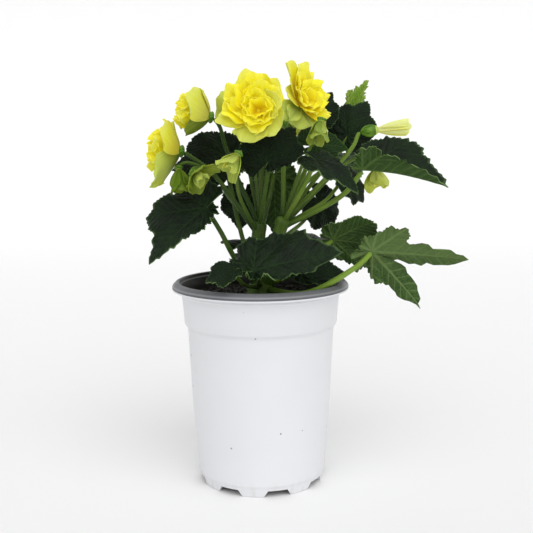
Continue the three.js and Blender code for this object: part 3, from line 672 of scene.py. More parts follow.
def tube(name, route, radii, sides, tone, knots=(), swell=0.0):
    """A round stalk along a route, closed and rounded at both ends.

    knots are shares of its length where it swells, and swell how much, against its radius.
    """
    length = sum((Vector(b) - Vector(a)).length for a, b in zip(route, route[1:]))
    count = max(14, int(length / 2.2))
    points = curve_through(route, count)
    ahead = [*points[1:], points[-1]]
    tangents = [(b - a).normalized() for a, b in zip([points[0], *points], ahead)]
    side = tangents[0].orthogonal().normalized()
    sides_at = []
    for tangent in tangents:
        side = (side - tangent * side.dot(tangent)).normalized()
        sides_at.append(side.copy())
    seed = sum(points[-1]) * 0.37

    def place(u, v):
        index = round(v * count)
        share = index / count
        radius = lerp(radii[0], radii[1], share)
        for knot in knots:
            radius *= 1 + swell * math.exp(-((share - knot) * length / 5) ** 2)
        radius *= 1 + 0.08 * noise.noise(Vector((share * length * 0.06, seed, 0)))
        dome = clamp(1 - (1 - share) * length / radii[1])
        radius *= math.sqrt(1 - dome * dome) if index else 0
        angle = TURN * u
        radius *= 1 + 0.05 * math.cos(3 * angle + seed)
        side = sides_at[index]
        across = side * math.cos(angle) + tangents[index].cross(side) * math.sin(angle)
        return spot(points[index] + across * radius)

    def lit(u, v):
        return tone * smooth(-0.1, 0.55, v)

    return grid(name, sides, count, place, flat=lambda u, v: (u, v * length / 100), tone=lit)


def stem_material(plant):
    graph = Graph("green stalks")
    place = graph.place()
    u, v, _ = graph.split(graph.uv())
    tone = graph.tone()
    streak = graph.streaks(u * 26, v * 9, 0)
    blotch = graph.noise(place, 70)
    # tone is painted light and shade: stalks deep in the plant and near their roots stay dark green, and
    # those in the light turn paler.
    tint = graph.coats(
        plant.stem_dark,
        (tone, plant.stem_light),
        (graph.range(streak, 0.4, 0.7) * (tone * 0.4 + 0.15), plant.stem_light),
        (graph.range(blotch, 0.5, 0.75) * 0.12, rgb(120, 96, 50)),
    )
    return graph.finish(
        tint, graph.range(streak, 0.3, 0.7, 0.42, 0.6), streak, 0.25, 0.0004, Specular_IOR_Level=0.25,
        Subsurface_Weight=0.12, Subsurface_Scale=0.002, Subsurface_Radius=(0.5, 1.0, 0.2))


def make_stems(plant):
    rings = len(CROWN) - 1

    def crown(u, v):
        share = v * rings
        low = min(int(share), rings - 1)
        radius, height = [lerp(a, b, share - low) for a, b in zip(CROWN[low], CROWN[low + 1])]
        angle = TURN * u
        bumpy = noise.noise(Vector((math.cos(angle) * 2, math.sin(angle) * 2, height * 0.2)))
        radius *= 1 + (0.12 * bumpy if height > 150 else 0)
        return ring_spot(radius, angle, height)

    def main_stem(name, radii, tone, swell):
        return tube(name, MAIN_STEMS[name], radii, STEM_SIDES, tone, knots=(0.5, 0.94), swell=swell)

    parts = [
        grid("crown", 48, 4 * rings, crown, flat=lambda u, v: (u, v * 0.3), tone=0.2),
        main_stem("left", (6, 5.4), tone=0.05, swell=0.14),
        main_stem("right", (5.5, 5), tone=0.25, swell=0.16),
    ]
    draw = random.Random(3)
    for name, leaf in LEAVES.items():
        size = min(1.15, 0.6 + leaf.length / 130)
        route = stalk_route(leaf.root, leaf.via, leaf.joint, leaf.axes[2], plant.blade / 2 + 0.3)
        tone = draw.uniform(0.55, 0.9) if leaf.joint[0] > SUNNY_X else draw.uniform(0.0, 0.3)
        radii = [radius * size for radius in LEAF_STALK]
        parts.append(tube(name, route, radii, LEAF_STALK_SIDES, tone, knots=(0.0,), swell=0.35))
    for name, bloom in BLOOMS.items():
        size = min(1, bloom.radius / 25)
        tone = draw.uniform(0.5, 0.8) if bloom.centre[0] > SUNNY_X else draw.uniform(0.0, 0.3)
        radii = [radius * size for radius in FLOWER_STALK]
        parts.append(tube(name, flower_route(bloom), radii, FLOWER_STALK_SIDES, tone))
    piece = merged(joined(parts, "stalks"))
    dress(piece, stem_material(plant))
    shade(piece, 180)
    placed(piece, "stem", "stems")
    make_hairs(plant, piece)


def make_hairs(plant, stalks):
    """Fine pale hairs that stand on the stalks above the soil."""
    draw = random.Random(7)
    faces = [face for face in stalks.data.polygons if face.center.z > HAIR_LOW]
    hairs = []
    for face in draw.choices(faces, weights=[face.area for face in faces], k=plant.hairs):
        out = (face.normal + Vector([draw.uniform(-0.5, 0.5) for _ in range(3)])).normalized()
        side = out.orthogonal().normalized()
        length = draw.uniform(*HAIR_LENGTHS) * MM
        hair = [face.center + out * length]
        for step in range(3):
            turn = Matrix.Rotation(TURN * step / 3, 3, out)
            hair.append(face.center + turn @ side * HAIR_WIDTH * MM - out * HAIR_DEPTH * MM)
        hairs.append(hair)
    graph = Graph("pale hairs")
    fade = graph.noise(graph.place(), 300, 2)
    graph.set(Base_Color=graph.mix(fade, rgb(124, 142, 70), rgb(166, 180, 116)), Roughness=0.7)
    placed(spikes("stalk_hairs", hairs, graph.material), "stem")


# Leaves

VEIN_STEP = math.radians(38)
SINUS_START = 4.5 * VEIN_STEP
LOBE_LENGTHS = [1, 0.76, 0.66, 0.58, 0.48, 0.36]
LEAF_COLUMNS = 224
LEAF_ROWS = 22
LEAF_GAP = 1e-6
RELIEF = 0.045  # how high the blade rises between two main veins, against its length
PUCKER = 0.012
WAVES = 5


@dataclass
class Leaf:
    """A leaf's place and form. Pairs are for its left and its right half, seen from stalk to tip.

    joint is where the stalk meets the blade, along the way to the tip, up the way the upper face
    looks. droop, back_droop and sides are the degrees by which the blade bends down to its tip, back
    and sides, fold those by which a half stands up, swing those by which it turns in its plane.
    halves, backs and tail widen or narrow the sides, the lobes behind the stalk and the last of these.
    lobes says how deep the bays between lobes are, teeth and ruffle how strong the edge's teeth and
    waves are.
    """

    joint: tuple
    along: tuple
    up: tuple
    length: float
    root: tuple
    via: tuple = ()
    droop: float = 40
    back_droop: float = 10
    sides: float = 15
    fold: tuple = (0, 0)
    halves: tuple = (1, 1)
    backs: tuple = (1, 1)
    lobes: tuple = (0.16, 0.16)
    teeth: float = 0.062
    ruffle: float = 0.03
    swing: tuple = (0, 0)
    tail: float = 1
    slot: str = "leaf"
    look: str = ""

    def __post_init__(self):
        x = Vector(self.along).normalized()
        y = Vector(self.up).normalized().cross(x).normalized()
        self.axes = x, y, x.cross(y)


LEAVES = {
    "leaf_left_low": Leaf(
        joint=(-41, -15, 220), along=(-0.8, -0.15, -0.57), up=(-0.25, -0.8, 0.55), length=62,
        droop=25, halves=(0.44, 1.25), backs=(0.66, 0.6), lobes=(0.2, 0.2), root=("crown", 154),
        via=[(-19.5, -9, 180), (-30, -12.5, 201)]),
    "leaf_left_up": Leaf(
        joint=(-28, 18, 260), along=(-0.97, -0.1, -0.1), up=(-0.05, -0.85, 0.5), length=47,
        backs=(0.8, 0.8), root=("crown", 158), via=[(-12, 3, 188), (-22, 9, 230)], look="shaded_leaf"),
    "leaf_left_back": Leaf(
        joint=(-14, 43, 226), along=(-0.2, 0.12, -0.97), up=(-0.12, -0.98, -0.1), length=34,
        backs=(0.8, 0.8), root=("left", 200), via=[(3, 51, 216)]),
    "leaf_centre_up": Leaf(
        joint=(7, -38, 256), along=(0.6, 0, 0.8), up=(-0.05, -0.97, 0.1), length=34.5,
        back_droop=70, halves=(1.05, 1.2), backs=(1.15, 0.35), root=("left", 200), look="shaded_leaf"),
    "leaf_centre_right": Leaf(
        joint=(42, -28, 257), along=(0.8, -0.42, -0.3), up=(0.2, -0.45, 0.86), length=42,
        halves=(0.8, 0.8), backs=(0.8, 0.8), root=("right", 204)),
    "leaf_right_mid": Leaf(
        joint=(43, 2, 267), along=(0.95, 0.16, 0.12), up=(-0.05, -0.78, 0.62), length=31,
        halves=(1, 0.85), backs=(1.05, 0.85), root=("right", 209), look="light_leaf"),
    "leaf_right_up": Leaf(
        joint=(72, 34, 275), along=(0.5, 0, 0.86), up=(-0.1, -0.97, 0.1), length=36,
        backs=(0.8, 0.8), root=("right", 210)),
    "leaf_young": Leaf(
        joint=(76, 54, 296), along=(0.45, 0.05, 0.88), up=(-0.3, -0.93, 0.1), length=32,
        fold=(35, 35), halves=(0.66, 0.66), backs=(0.3, 0.3), lobes=(0.36, 0.36), teeth=0.14,
        root=("right", 208), via=[(51, 46, 260)], slot="young_leaf", look="young_leaf"),
    "leaf_behind_bloom": Leaf(
        joint=(48, 30, 291), along=(0.4, 0.1, 0.9), up=(-0.2, -0.85, 0.4), length=25,
        root=("right", 210)),
    "leaf_right_big": Leaf(
        joint=(80, -6, 248), along=(0.94, -0.3, -0.02), up=(0, 0.1, 0.99), length=67,
        droop=20, sides=6, fold=(62, 48), halves=(0.93, 0.46), backs=(0.7, 1.1),
        swing=(-8, -8), tail=0.45, root=("right", 203)),
    "leaf_right_low": Leaf(
        joint=(86, -22, 186), along=(0.99, -0.02, -0.03), up=(0.02, 0.93, 0.37), length=73.5,
        droop=14, fold=(0, 50), halves=(1.2, 0.66), backs=(0.4, 0.5), lobes=(0.76, 0.5),
        swing=(9, 0), root=("crown", 155), via=[(36, -33, 156.5)], look="bleached_leaf"),
    "leaf_right_low_back": Leaf(
        joint=(58, 2, 193), along=(0.97, 0.16, -0.06), up=(0, 0.9, 0.4), length=46,
        halves=(1, 1.15), backs=(0.5, 0.5), root=("right", 176), via=[(33, -2, 185)]),
    "leaf_front": Leaf(
        joint=(-4.5, -50, 176), along=(0.95, -0.05, 0.28), up=(-0.05, -0.72, 0.69), length=67,
        droop=16, halves=(1, 0.38), backs=(0.66, 0.5), ruffle=0.06, root=("crown", 157)),
    "leaf_front_small": Leaf(
        joint=(-18, -57, 178), along=(-0.8, -0.3, -0.1), up=(-0.25, -0.7, 0.66), length=24,
        halves=(1.1, 1.1), backs=(0.45, 0.45), root=("crown", 155), via=[(-13, -45, 166)]),
    "leaf_inside_right": Leaf(
        joint=(31, -12, 171), along=(0.97, 0.05, 0.08), up=(-0.06, -0.8, 0.6), length=39,
        halves=(0.66, 0.8), backs=(0.6, 0.6), root=("crown", 157)),
    "leaf_right_inner": Leaf(
        joint=(47, 38, 223), along=(0.55, 0.05, -0.83), up=(0.3, -0.85, 0.4), length=35,
        backs=(0.8, 0.8), root=("right", 192), via=[(38, 40, 207)]),
    "leaf_right_under": Leaf(
        joint=(69, 19, 241), along=(0.78, 0.15, -0.58), up=(0.35, -0.7, 0.6), length=28,
        halves=(1.1, 1.15), backs=(0.7, 0.7), root=("right", 204), via=[(54, 20, 224)]),
    "leaf_back_left": Leaf(
        joint=(-36, 50, 251), along=(-0.62, 0.74, 0.1), up=(-0.2, 0.35, 0.9), length=50,
        droop=62, root=("left", 202)),
    "leaf_back_centre": Leaf(
        joint=(12, 58, 243), along=(0.03, 0.2, -0.97), up=(0, 0.97, 0.24), length=52,
        droop=20, backs=(0.6, 0.6), root=("left", 190)),
    "leaf_back_right": Leaf(
        joint=(58, 70, 258), along=(0.7, 0.68, 0.1), up=(0.2, 0.3, 0.9), length=50,
        droop=60, backs=(0.8, 0.8), root=("right", 201), via=[(34, 42, 232)]),
    "leaf_back_low": Leaf(
        joint=(-2, 56, 186), along=(-0.1, 0.98, 0.12), up=(0, 0.3, 0.95), length=48,
        droop=60, root=("crown", 157)),
    "leaf_back_low_right": Leaf(
        joint=(48, 50, 186), along=(0.8, 0.6, 0.05), up=(0, -0.3, 0.95), length=50,
        droop=55, root=("crown", 158)),
}


def edge_reach(angle, leaf):
    """Length from the stalk to the plain edge, as a share of the leaf's length.

    k counts main veins from the one that runs to the tip. The edge comes in between two of them.
    """
    k = min(abs(angle) / VEIN_STEP, len(LOBE_LENGTHS) - 1.001)
    low = int(k)
    part = 1 - (1 - k) ** 1.6 if low == 0 else k - low
    plain = lerp(LOBE_LENGTHS[low], LOBE_LENGTHS[low + 1], part)
    bay = 2 * abs(k - round(k))
    half = 0 if angle > 0 else 1
    behind = 1 - (1 - leaf.backs[half]) * clamp((k - 0.8) / 1.2)
    behind *= 1 - (1 - leaf.tail) * clamp(k - 2)
    beside = 1 - (1 - leaf.halves[half]) * min(1, k)
    lobes = leaf.lobes[half] * (1 if k < 1 else 0.4)
    return plain * behind * beside * (1 - lobes * bay)


def leaf_outline(leaf):
    """The flat plain edge of a leaf and, at each of its points, the offset that makes the teeth.

    Small teeth (saw) ride on large ones (hump), and both lean towards the end of the nearest main vein.
    """
    angles = [SINUS_START * (1 - 2 * i / LEAF_COLUMNS) for i in range(LEAF_COLUMNS + 1)]
    length = leaf.length
    edge = [Vector((math.cos(a), math.sin(a))) * edge_reach(a, leaf) * length for a in angles]
    run = 0.0
    teeth = []
    pitch = 0.5 * length**0.5
    seed = length * 1.37
    for i, angle in enumerate(angles):
        a = edge[max(i - 1, 0)]
        b = edge[min(i + 1, LEAF_COLUMNS)]
        if i:
            run += (edge[i] - edge[i - 1]).length
        tangent = (b - a).normalized()
        outward = Vector((-tangent.y, tangent.x))
        k = abs(angle) / VEIN_STEP
        ahead = (k - math.floor(k) > 0.5) != (angle > 0)
        wide = run / pitch + 0.3 * math.sin(run * 0.21 + seed)
        saw = wide - math.floor(wide)
        saw = saw if ahead else 1 - saw
        large = run / (pitch * 3.4) + 0.2 * math.sin(run * 0.13 + seed)
        hump = large - math.floor(large)
        hump = hump if ahead else 1 - hump
        depth = leaf.teeth * length * (0.42 * saw**0.8 + 0.62 * hump - 0.5)
        fade = smooth(SINUS_START, SINUS_START - 0.25, abs(angle))
        teeth.append(outward * depth * fade)
    return angles, edge, teeth


def blade_point(leaf, angle, flat, share, lift=0.0):
    """Where a flat point of the blade stands: its relief, folds and bends."""
    length = leaf.length
    swing = math.radians(leaf.swing[0 if angle > 0 else 1]) * min(1, abs(angle) / VEIN_STEP)
    x, y = Matrix.Rotation(math.copysign(swing, angle), 2) @ Vector(flat)
    between = (1 - math.cos(TURN * angle / VEIN_STEP)) / 2
    wave = math.sin(WAVES * angle)
    h = length * share * (RELIEF * between + leaf.ruffle * share * wave) + lift
    fold = math.radians(leaf.fold[0 if y > 0 else 1])
    across = y * math.cos(fold)
    h = h * math.cos(fold) + abs(y) * math.sin(fold)
    y_bent, h_bent = arc(across, h, math.radians(leaf.sides) / length)
    bend = leaf.droop if x > 0 else leaf.back_droop
    x_bent, z_bent = arc(x, h_bent, math.radians(bend) / length)
    ax, ay, az = leaf.axes
    return Vector(leaf.joint) + ax * x_bent + ay * y_bent + az * z_bent


def toward_edge(u, v):
    """How far out a row of the blade lies: rows are closer together near the edge."""
    return 1 - (1 - v) ** 1.35


def make_leaf(name, leaf, plant, materials):
    angles, edge, teeth = leaf_outline(leaf)
    length = leaf.length
    seed = Vector((length, leaf.joint[0], leaf.joint[1]))

    def flat_at(u, v):
        index = round(u * LEAF_COLUMNS)
        share = toward_edge(u, v)
        return angles[index], edge[index] * share + teeth[index] * smooth(0.72, 1.0, share), share

    def place(u, v):
        angle, point, share = flat_at(u, v)
        pucker = noise.noise(Vector((point.x, point.y, 0)) * (9 / length) + seed)
        lift = PUCKER * (pucker * smooth(0.1, 0.5, share) - share**6)
        lift += 0.5 * leaf.ruffle * math.sin(2.7 * WAVES * angle + 1.3) * smooth(0.6, 1.0, share)
        return spot(blade_point(leaf, angle, point, share, lift * length))

    def flat(u, v):
        _, point, _ = flat_at(u, v)
        return 0.5 + 0.4 * point.x / length, 0.5 + 0.4 * point.y / length

    piece = grid(f"{name}_blade", LEAF_COLUMNS, LEAF_ROWS, place, flat, toward_edge)
    merged(piece, LEAF_GAP, outward=False)
    dress(piece, *materials)
    thick = plant.blade * MM
    applied(piece, "SOLIDIFY", thickness=thick, offset=0, material_offset=1, material_offset_rim=2)
    shade(piece, 50)
    placed(piece, leaf.slot, name)


def vein_masks(graph):
    """The vein pattern of a leaf: main veins, side veins, the pleats between those, and the net.

    x and y are the leaf's flat place against its length. A point belongs to the main vein nearest to it:
    along is how far out it lies on that vein and beside how far off it. Side veins leave it aslant.
    """
    x, y, _ = graph.split(graph.uv())
    x = (x - 0.5) * 2.5
    y = (y - 0.5) * 2.5
    reach = (x * x + y * y) ** 0.5
    angle = y.math("ARCTAN2", x)
    k = angle / VEIN_STEP
    near = k.math("ROUND")
    delta = (k - near) * VEIN_STEP
    beside = delta.math("SINE").math("ABSOLUTE") * reach
    along = delta.math("COSINE") * reach
    width = graph.range(reach, 0.0, 0.9, 0.017, 0.006)
    main = graph.range(beside / width, 0.35, 1.15, 1, 0)
    stray = graph.noise(graph.uv(), 5, 2)
    rib = along - beside * 1.15 + near * 0.037 + stray * 0.09
    comb = (rib * 9.5).math("FRACT")
    off = (comb - 0.5).math("ABSOLUTE")
    side = graph.range(off, 0.06, 0.13, 1, 0) * graph.range(beside, 0.0, 0.02)
    side = side * graph.range(reach, 0.06, 0.14)
    pleat = graph.range(off, 0.02, 0.5)
    values = {"Vector": graph.uv(), "Scale": 62}
    cells = graph.add("ShaderNodeTexVoronoi", values, feature="DISTANCE_TO_EDGE")
    net = graph.range(cells, 0.0, 0.14, 1, 0)
    return main, side, pleat, net


def leaf_material(name, tints, rough, vein_share, edge=None, painted_light_half=None):
    """A leaf's green. tints are its ground, its paler clouds and its veins."""
    ground, pale, vein = tints
    graph = Graph(name)
    place = graph.place()
    main, side, pleat, net = vein_masks(graph)
    cloud = graph.noise(place, 55, 4, 0.6)
    fine = graph.noise(place, 900, 2)
    tint = graph.coats(
        ground,
        (graph.range(cloud, 0.3, 0.75), pale),
        (pleat * 0.35, ground),
        (net * 0.18, vein),
        (side * (0.55 * vein_share), vein),
        (main * vein_share, vein),
    )
    # Painted light: the leaf's right half turns paler, as where it faces the light.
    if painted_light_half:
        _, across, _ = graph.split(graph.uv())
        tint = graph.mix(graph.range(across, 0.6, 0.48) * 0.6, tint, painted_light_half)
    if edge:
        tint = graph.mix(graph.range(graph.tone(), 0.95, 0.99) * 0.7, tint, edge)
    height = pleat * 0.55 - main * 0.5 - side * 0.35 - net * 0.12 + fine * 0.06
    smoothness = graph.range(cloud, 0.2, 0.8, rough, rough + 0.16)
    return graph.finish(tint, smoothness, height, 0.7, 0.0011, Specular_IOR_Level=0.15)


def leaf_materials(plant):
    """For each look of a leaf, the materials of its upper side, its under side and its edge."""
    below = plant.under, rgb(64, 90, 44)
    upper = leaf_material(
        "leaf upper side", (plant.leaf_dark, plant.leaf_pale, rgb(38, 62, 30)), 0.5, 0.4,
        edge=rgb(74, 100, 58))
    under = leaf_material("leaf under side", (*below, rgb(98, 124, 62)), 0.6, 0.55)
    edge = leaf_material(
        "leaf edge", (rgb(96, 124, 72), rgb(120, 146, 90), rgb(120, 140, 80)), 0.6, 0.2)
    young = leaf_material(
        "young leaf", (rgb(96, 136, 34), rgb(140, 172, 58), rgb(180, 204, 104)), 0.5, 0.8,
        edge=rgb(170, 190, 110))
    # A copy of the upper side in brighter, more saturated greens: painted light on a leaf that stands in
    # the light.
    light = leaf_material(
        "lighter leaf", (rgb(13, 36, 6), rgb(26, 58, 13), rgb(66, 100, 34)), 0.5, 0.5,
        edge=rgb(88, 122, 54))
    shaded = leaf_material(
        "shaded leaf", (rgb(5, 14, 4), rgb(14, 32, 9), rgb(24, 48, 16)), 0.6, 0.4, edge=rgb(50, 74, 38))
    # The under side of leaf_right_low, its right half made paler as painted light.
    half_lit_under = leaf_material(
        "bleached under side", (*below, rgb(122, 146, 86)), 0.6, 0.55, painted_light_half=rgb(88, 110, 60))
    return {
        "": (upper, under, edge),
        "young_leaf": (young, young, edge),
        "light_leaf": (light, under, edge),
        "bleached_leaf": (upper, half_lit_under, edge),
        "shaded_leaf": (shaded, under, edge),
    }


def make_leaves(plant):
    materials = leaf_materials(plant)
    for name, leaf in LEAVES.items():
        make_leaf(name, leaf, plant, materials[leaf.look])


# Flowers and buds

PETAL_CELLS = 14
CORE_SHARE = 0.2
CORE_REACH = 0.2
LONG_CORE_REACH = 0.7


def ring(count, first, *form):
    """A ring of petals of one form, the first of them that many degrees round the flower."""
    return [(first + 360 * i / count, *form) for i in range(count)]


# Each petal: its place round the flower in degrees, 0 to the right and 90 at the top for someone who
# looks into the flower; its length and width against the flower's radius; the angle at which it leaves
# the flower and how far it then bends outwards; its cup; its tone, 0 for yellow, 1 for pale green and
# less than 0 for near white; and its ruffle.
FRONT_PETALS = [
    (244, 0.96, 1.15, 8, 22, 0.3, 0.72, 0.08),
    (306, 0.86, 1.1, 12, 18, 0.3, 0.72, 0.08),
    (197, 1.25, 0.8, 8, 10, 0.3, 0.6, 0.07),
    (12, 0.8, 0.95, 40, 0, 0.5, 0.66, 0.07),
    (110, 1.15, 1.25, 12, 10, 0.3, 0.45, 0.11),
    (60, 1.0, 1.0, 22, 8, 0.4, 0.45, 0.11),
    (93, 1.1, 1.2, 24, 10, 0.4, 0.25, 0.12),
    (150, 1.1, 1.05, 18, 14, 0.4, 0.25, 0.13),
    (186, 1.05, 0.95, 20, 14, 0.4, 0.2, 0.13),
    (42, 0.88, 0.95, 38, 8, 0.5, 0.25, 0.13),
    (266, 0.7, 0.9, 24, 20, 0.4, 0.25, 0.15),
    (330, 0.66, 0.8, 36, 14, 0.5, 0.25, 0.15),
    (126, 0.92, 0.95, 34, 18, 0.5, 0.15, 0.15),
    (170, 0.84, 0.86, 32, 20, 0.5, 0.1, 0.16),
    (82, 0.86, 0.95, 42, 12, 0.5, 0.15, 0.15),
    (228, 0.62, 0.8, 38, 22, 0.5, 0.1, 0.17),
    (296, 0.52, 0.7, 46, 20, 0.6, 0.1, 0.17),
    (0, 0.54, 0.7, 54, 8, 0.6, 0.1, 0.17),
    (108, 0.68, 0.8, 52, 18, 0.6, 0.05, 0.18),
    (158, 0.62, 0.66, 50, 22, 0.6, 0.05, 0.18),
    (45, 0.6, 0.8, 56, 14, 0.6, 0.05, 0.16),
    (205, 0.52, 0.66, 50, 24, 0.6, 0.0, 0.17),
    (262, 0.42, 0.6, 58, 20, 0.7, 0.0, 0.17),
    (75, 0.46, 0.6, 72, 10, 0.8, 0.0, 0.16),
    (150, 0.44, 0.6, 66, 18, 0.8, 0.0, 0.17),
]
RIGHT_PETALS = [
    (115, 1.2, 0.9, 22, -6, 0.5, 0.5, 0.06),
    (86, 1.08, 0.85, 30, -4, 0.5, 0.45, 0.06),
    (240, 0.7, 1.0, 6, 50, 0.4, 0.95, 0.08),
    (200, 0.8, 0.7, 0, 44, 0.4, 0.95, 0.08),
    (312, 1.1, 0.8, 4, 24, 0.5, 1.0, 0.06),
    (30, 1.0, 1.0, 16, 16, 0.4, 0.45, 0.09),
    (345, 1.0, 0.95, 14, 20, 0.4, 0.35, 0.1),
    (150, 0.66, 0.8, 20, 20, 0.4, 0.6, 0.07),
    (60, 0.96, 0.95, 28, 14, 0.4, 0.25, 0.09),
    (10, 0.92, 0.95, 30, 18, 0.4, 0.2, 0.12),
    (322, 0.82, 0.85, 28, 20, 0.5, 0.2, 0.12),
    (112, 0.86, 0.8, 42, 6, 0.5, 0.2, 0.1),
    (160, 0.6, 0.7, 46, 10, 0.5, 0.25, 0.1),
    (42, 0.78, 0.84, 48, 20, 0.5, 0.1, 0.14),
    (352, 0.72, 0.8, 46, 24, 0.6, 0.1, 0.14),
    (85, 0.66, 0.7, 56, 14, 0.6, 0.1, 0.12),
    (280, 0.56, 0.75, 42, 22, 0.6, 0.15, 0.12),
    (225, 0.5, 0.64, 52, 16, 0.6, 0.2, 0.12),
    (18, 0.6, 0.8, 58, 22, 0.7, 0.05, 0.14),
    (320, 0.52, 0.7, 60, 24, 0.7, 0.05, 0.14),
    (255, 0.42, 0.6, 62, 24, 0.7, 0.0, 0.14),
    (150, 0.46, 0.6, 68, 20, 0.8, 0.0, 0.14),
    (60, 0.48, 0.6, 72, 20, 0.8, 0.0, 0.14),
]
LEFT_PETALS = [
    (50, 1.1, 1.3, 18, -22, 0.5, 0.6, 0.04),
    (304, 1.4, 1.2, 22, 0, 0.5, 0.95, 0.05),
    (125, 1.0, 1.0, 26, 0, 0.5, 0.7, 0.04),
    (235, 1.15, 1.0, 34, 4, 0.5, 0.9, 0.05),
    (20, 0.9, 0.85, 56, 0, 0.6, 0.45, 0.1),
    (95, 0.84, 0.8, 50, 4, 0.5, 0.3, 0.1),
    (275, 1.0, 0.8, 54, 2, 0.6, 0.4, 0.1),
    (180, 0.9, 0.8, 52, 6, 0.5, 0.4, 0.1),
    *ring(5, 40, 0.92, 0.7, 62, 8, 0.6, 0.2, 0.14),
    *ring(5, 10, 0.9, 0.6, 72, 8, 0.7, 0.1, 0.16),
    *ring(4, 30, 0.84, 0.5, 82, 8, 0.8, 0.0, 0.16),
]
LEFT_UP_PETALS = [
    (50, 1.04, 1.65, 18, -48, 0.5, 0.7, 0.03),
    (292, 0.92, 1.0, 30, -20, 0.6, 1.3, 0.04),
    (120, 1.0, 1.0, 24, -20, 0.5, 0.7, 0.04),
    (215, 0.9, 0.95, 34, -6, 0.5, 0.95, 0.04),
    (345, 1.0, 0.8, 62, 2, 0.6, 0.45, 0.1),
    (80, 1.0, 0.8, 62, 2, 0.6, 0.3, 0.1),
    *ring(5, 30, 1.0, 0.66, 66, 4, 0.6, 0.2, 0.14),
    *ring(5, 60, 0.98, 0.56, 75, 4, 0.7, 0.1, 0.16),
    *ring(4, 20, 0.92, 0.46, 84, 4, 0.8, 0.0, 0.16),
]
OPENING_PETALS = [
    *ring(4, 45, 1.0, 1.02, 34, 20, 0.6, 0.85, 0.04),
    *ring(4, 0, 0.86, 0.8, 50, 12, 0.6, 0.4, 0.07),
    *ring(4, 30, 0.78, 0.66, 62, 14, 0.6, 0.2, 0.1),
    *ring(4, 70, 0.66, 0.56, 72, 12, 0.7, 0.1, 0.12),
    *ring(3, 10, 0.5, 0.45, 82, 12, 0.8, 0.0, 0.12),
]
RAGGED_PETALS = [
    (20, 1.0, 1.05, 24, 10, 0.5, 1.15, 0.08),
    (110, 0.6, 0.8, 30, 4, 0.6, 1.2, 0.08),
    (300, 0.9, 0.9, 30, 6, 0.6, 1.2, 0.08),
    (210, 0.7, 0.7, 36, 4, 0.6, 1.25, 0.08),
    *ring(3, 50, 0.6, 0.5, 66, 4, 0.8, 0.9, 0.1),
]
DROOPING_PETALS = [
    (80, 1.0, 0.95, 56, -6, 0.7, 1.1, 0.05),
    (260, 1.05, 1.0, 52, -6, 0.7, 1.15, 0.05),
    (350, 0.9, 0.7, 60, -4, 0.8, 1.1, 0.06),
    (170, 0.9, 0.7, 60, -4, 0.8, 1.1, 0.06),
    *ring(3, 30, 0.7, 0.44, 76, 0, 0.8, 0.7, 0.08),
]
NARROW_PETALS = [
    *ring(2, 10, 0.98, 0.86, 64, -8, 0.9, 1.3, 0.03),
    *ring(2, 95, 0.94, 0.76, 67, -8, 0.9, 1.2, 0.04),
]
SLIM_PETALS = [
    *ring(2, 170, 1, 0.46, 81, -2, 0.5, -0.5, 0.02),
    *ring(2, 80, 0.94, 0.4, 83, -3, 0.5, -0.3, 0.02),
]


@dataclass
class Bloom:
    """A flower's or bud's place and form, in millimetres.

    tone shifts the tone of its petals, case is its seed case's length against the core's radius, and
    taper says how far a petal widens again before its tip.
    """

    centre: tuple
    facing: tuple
    radius: float
    petals: list
    root: tuple
    via: tuple = ()
    tone: float = 0
    case: float = 0.9
    taper: float = 0.7

    def __post_init__(self):
        """x to the right and y up, as seen by someone who looks into it; z the way it faces."""
        z = Vector(self.facing).normalized()
        x = UP.cross(z).normalized()
        self.axes = x, z.cross(x), z

    def spot(self, x, y, z):
        """A point given along its axes from its centre."""
        right, up, out = self.axes
        return spot(Vector(self.centre) + right * x + up * y + out * z)


